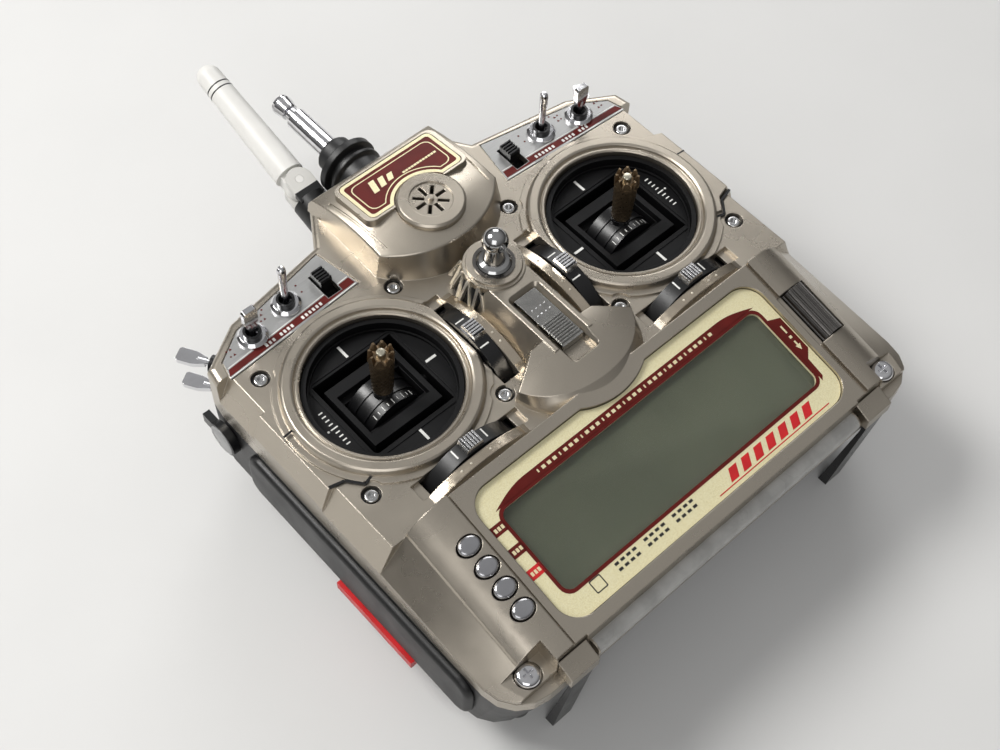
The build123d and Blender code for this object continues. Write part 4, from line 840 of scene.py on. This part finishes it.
def make_woven_ribs():
    """Bright crossed ribs fanned round the left of the eyelet's boss, on a dark ground."""
    ground = Shape()
    turns = [math.radians(a) for a in range(122, 231, 6)]

    lower = ground.loop(arc(FAN_FOOT_R, turns) + arc(FAN_FOOT_R - 4, turns[::-1]), FAN_FOOT)
    upper = ground.loop(arc(FAN_HEAD_R, turns) + arc(FAN_HEAD_R - 1, turns[::-1]), FAN_HEAD)
    ground.mesh.faces.new(upper)
    ground.mesh.faces.new(lower[::-1])
    ground.wall(lower, upper)
    ground.place("rib_ground", plane(EYELET), black, "black_plastic")
    ribs = Shape()
    lean = Matrix.Rotation(math.atan2(FAN_HEAD - FAN_FOOT, FAN_FOOT_R - FAN_HEAD_R), 4, "Y")
    centre = Matrix.Translation(((FAN_FOOT_R + FAN_HEAD_R) / 2, 0, (FAN_FOOT + FAN_HEAD) / 2))
    for angle in FAN:
        for start, end, width, rise in (
            ((-4.0, 0), (4.0, 0), 1.0, 1.4),
            ((-3.7, 0.3), (3.7, 3.9), 0.55, 0.9),
        ):
            made = len(ribs.mesh.verts)
            ribs.plate(stroke(start, end, width), -0.3, rise)
            ribs.moved(made, Matrix.Rotation(math.radians(angle), 4, "Z") @ centre @ lean)
    ribs.place("woven_ribs", plane(EYELET), rib_silver, "champagne")


def make_edge_bar():
    """Half-round bright trim along the bottom edge, between the feet."""
    bar = Shape()
    profile = bow(EDGE_BAR_R, range(-100, 101, 20))
    hollow = [(0.9 * x, 0.9 * y) for x, y in reversed(profile)]
    bar.plate(profile + hollow, -EDGE_BAR_HALF, EDGE_BAR_HALF)
    bar.place("edge_bar", plane(EDGE_BAR, (-1, 0, 0), (0, -1, 0)), edge_silver, "silver_plastic")


def make_antenna_rings():
    """Two dark rings near the tip of the folding antenna."""
    rings = Shape()
    for height in (46.0, 48.2):
        radius = 5.6 - 1.1 * (height - 5.6) / 48.4
        rings.band(circle(radius + 0.05, steps=40), circle(radius - 0.5, steps=40), height, height + 0.5)
    rings.place("antenna_rings", plane(DUCK_PIN, DUCK_DIRECTION), black, "black_plastic", "duck_rod")


make_slider_dots()
make_eyelet_seat()
make_woven_ribs()
make_edge_bar()
make_antenna_rings()
for side_name, side in SIDES:
    make_lever_disc(side_name, side)


# ---- floor, light and camera ---------------------------------------------------------------
FLOOR_HALF = 3.0
CAMERA_PLACE = Vector((-0.1992, -0.1953, 0.4551))
CAMERA_TARGET = Vector((-0.0209, -0.0198, 0.060))
CAMERA_ROLL = math.radians(3.8)
LENS = 53.96
AIM = (0, 0, 0.05)


def make_floor():
    """Pale sheet that the transmitter lies on."""
    r = Recipe("paper")
    tinted(r, (0.655, 0.652, 0.643), 0.01, 60 * MM)
    r.link(Roughness=r.ramp(r.noise(3 * MM), 0.6, 0.75))
    r.bump(r.noise(0.8 * MM), 0.01 * MM)
    mesh = bpy.data.meshes.new("floor")
    half = FLOOR_HALF
    corners = [(-half, -half, 0), (half, -half, 0), (half, half, 0), (-half, half, 0)]
    mesh.from_pydata(corners, [], [(0, 1, 2, 3)])
    floor = bpy.data.objects.new("floor", mesh)
    bpy.context.scene.collection.objects.link(floor)
    mesh.materials.append(r.material)


def add_light(name, place, size, power, color=(1, 1, 1)):
    """A square soft box turned to the transmitter."""
    data = bpy.data.lights.new(name, "AREA")
    data.size = size
    data.energy = power
    data.color = color
    lamp = bpy.data.objects.new(name, data)
    lamp.location = place
    lamp.rotation_euler = (Vector(AIM) - Vector(place)).to_track_quat("-Z", "Y").to_euler()
    bpy.context.scene.collection.objects.link(lamp)


def make_world(strength):
    """Soft room light, brighter overhead."""
    world = bpy.data.worlds.new("room")
    world.use_nodes = True
    tree = world.node_tree
    coords = tree.nodes.new("ShaderNodeTexCoord").outputs["Generated"]
    split = tree.nodes.new("ShaderNodeSeparateXYZ")
    tree.links.new(coords, split.inputs[0])
    ramp = tree.nodes.new("ShaderNodeValToRGB")
    ramp.color_ramp.elements[0].position = 0.0
    ramp.color_ramp.elements[0].color = (0.10, 0.095, 0.09, 1)
    ramp.color_ramp.elements[1].position = 0.9
    ramp.color_ramp.elements[1].color = (1.0, 1.0, 1.0, 1)
    tree.links.new(split.outputs["Z"], ramp.inputs[0])
    background = tree.nodes["Background"]
    background.inputs["Strength"].default_value = strength
    tree.links.new(ramp.outputs[0], background.inputs["Color"])
    bpy.context.scene.world = world


def make_camera():
    """Camera at the photograph's angle."""
    data = bpy.data.cameras.new("camera")
    data.lens = LENS
    data.sensor_width = 36.0
    data.clip_start = 0.01
    camera = bpy.data.objects.new("camera", data)
    aim = (CAMERA_TARGET - CAMERA_PLACE).to_track_quat("-Z", "Y").to_matrix().to_4x4()
    camera.matrix_world = Matrix.Translation(CAMERA_PLACE) @ aim @ Matrix.Rotation(CAMERA_ROLL, 4, "Z")
    bpy.context.scene.collection.objects.link(camera)
    bpy.context.scene.camera = camera


make_floor()
make_world(0.42)
add_light("key_light", (-0.55, 0.75, 1.1), 0.55, 17, (1, 0.99, 0.97))
add_light("fill_light", (-0.9, -0.7, 0.9), 0.9, 5)
add_light("back_light", (0.9, 0.9, 0.8), 0.7, 6)
make_camera()
bpy.context.scene.view_settings.view_transform = "Standard"
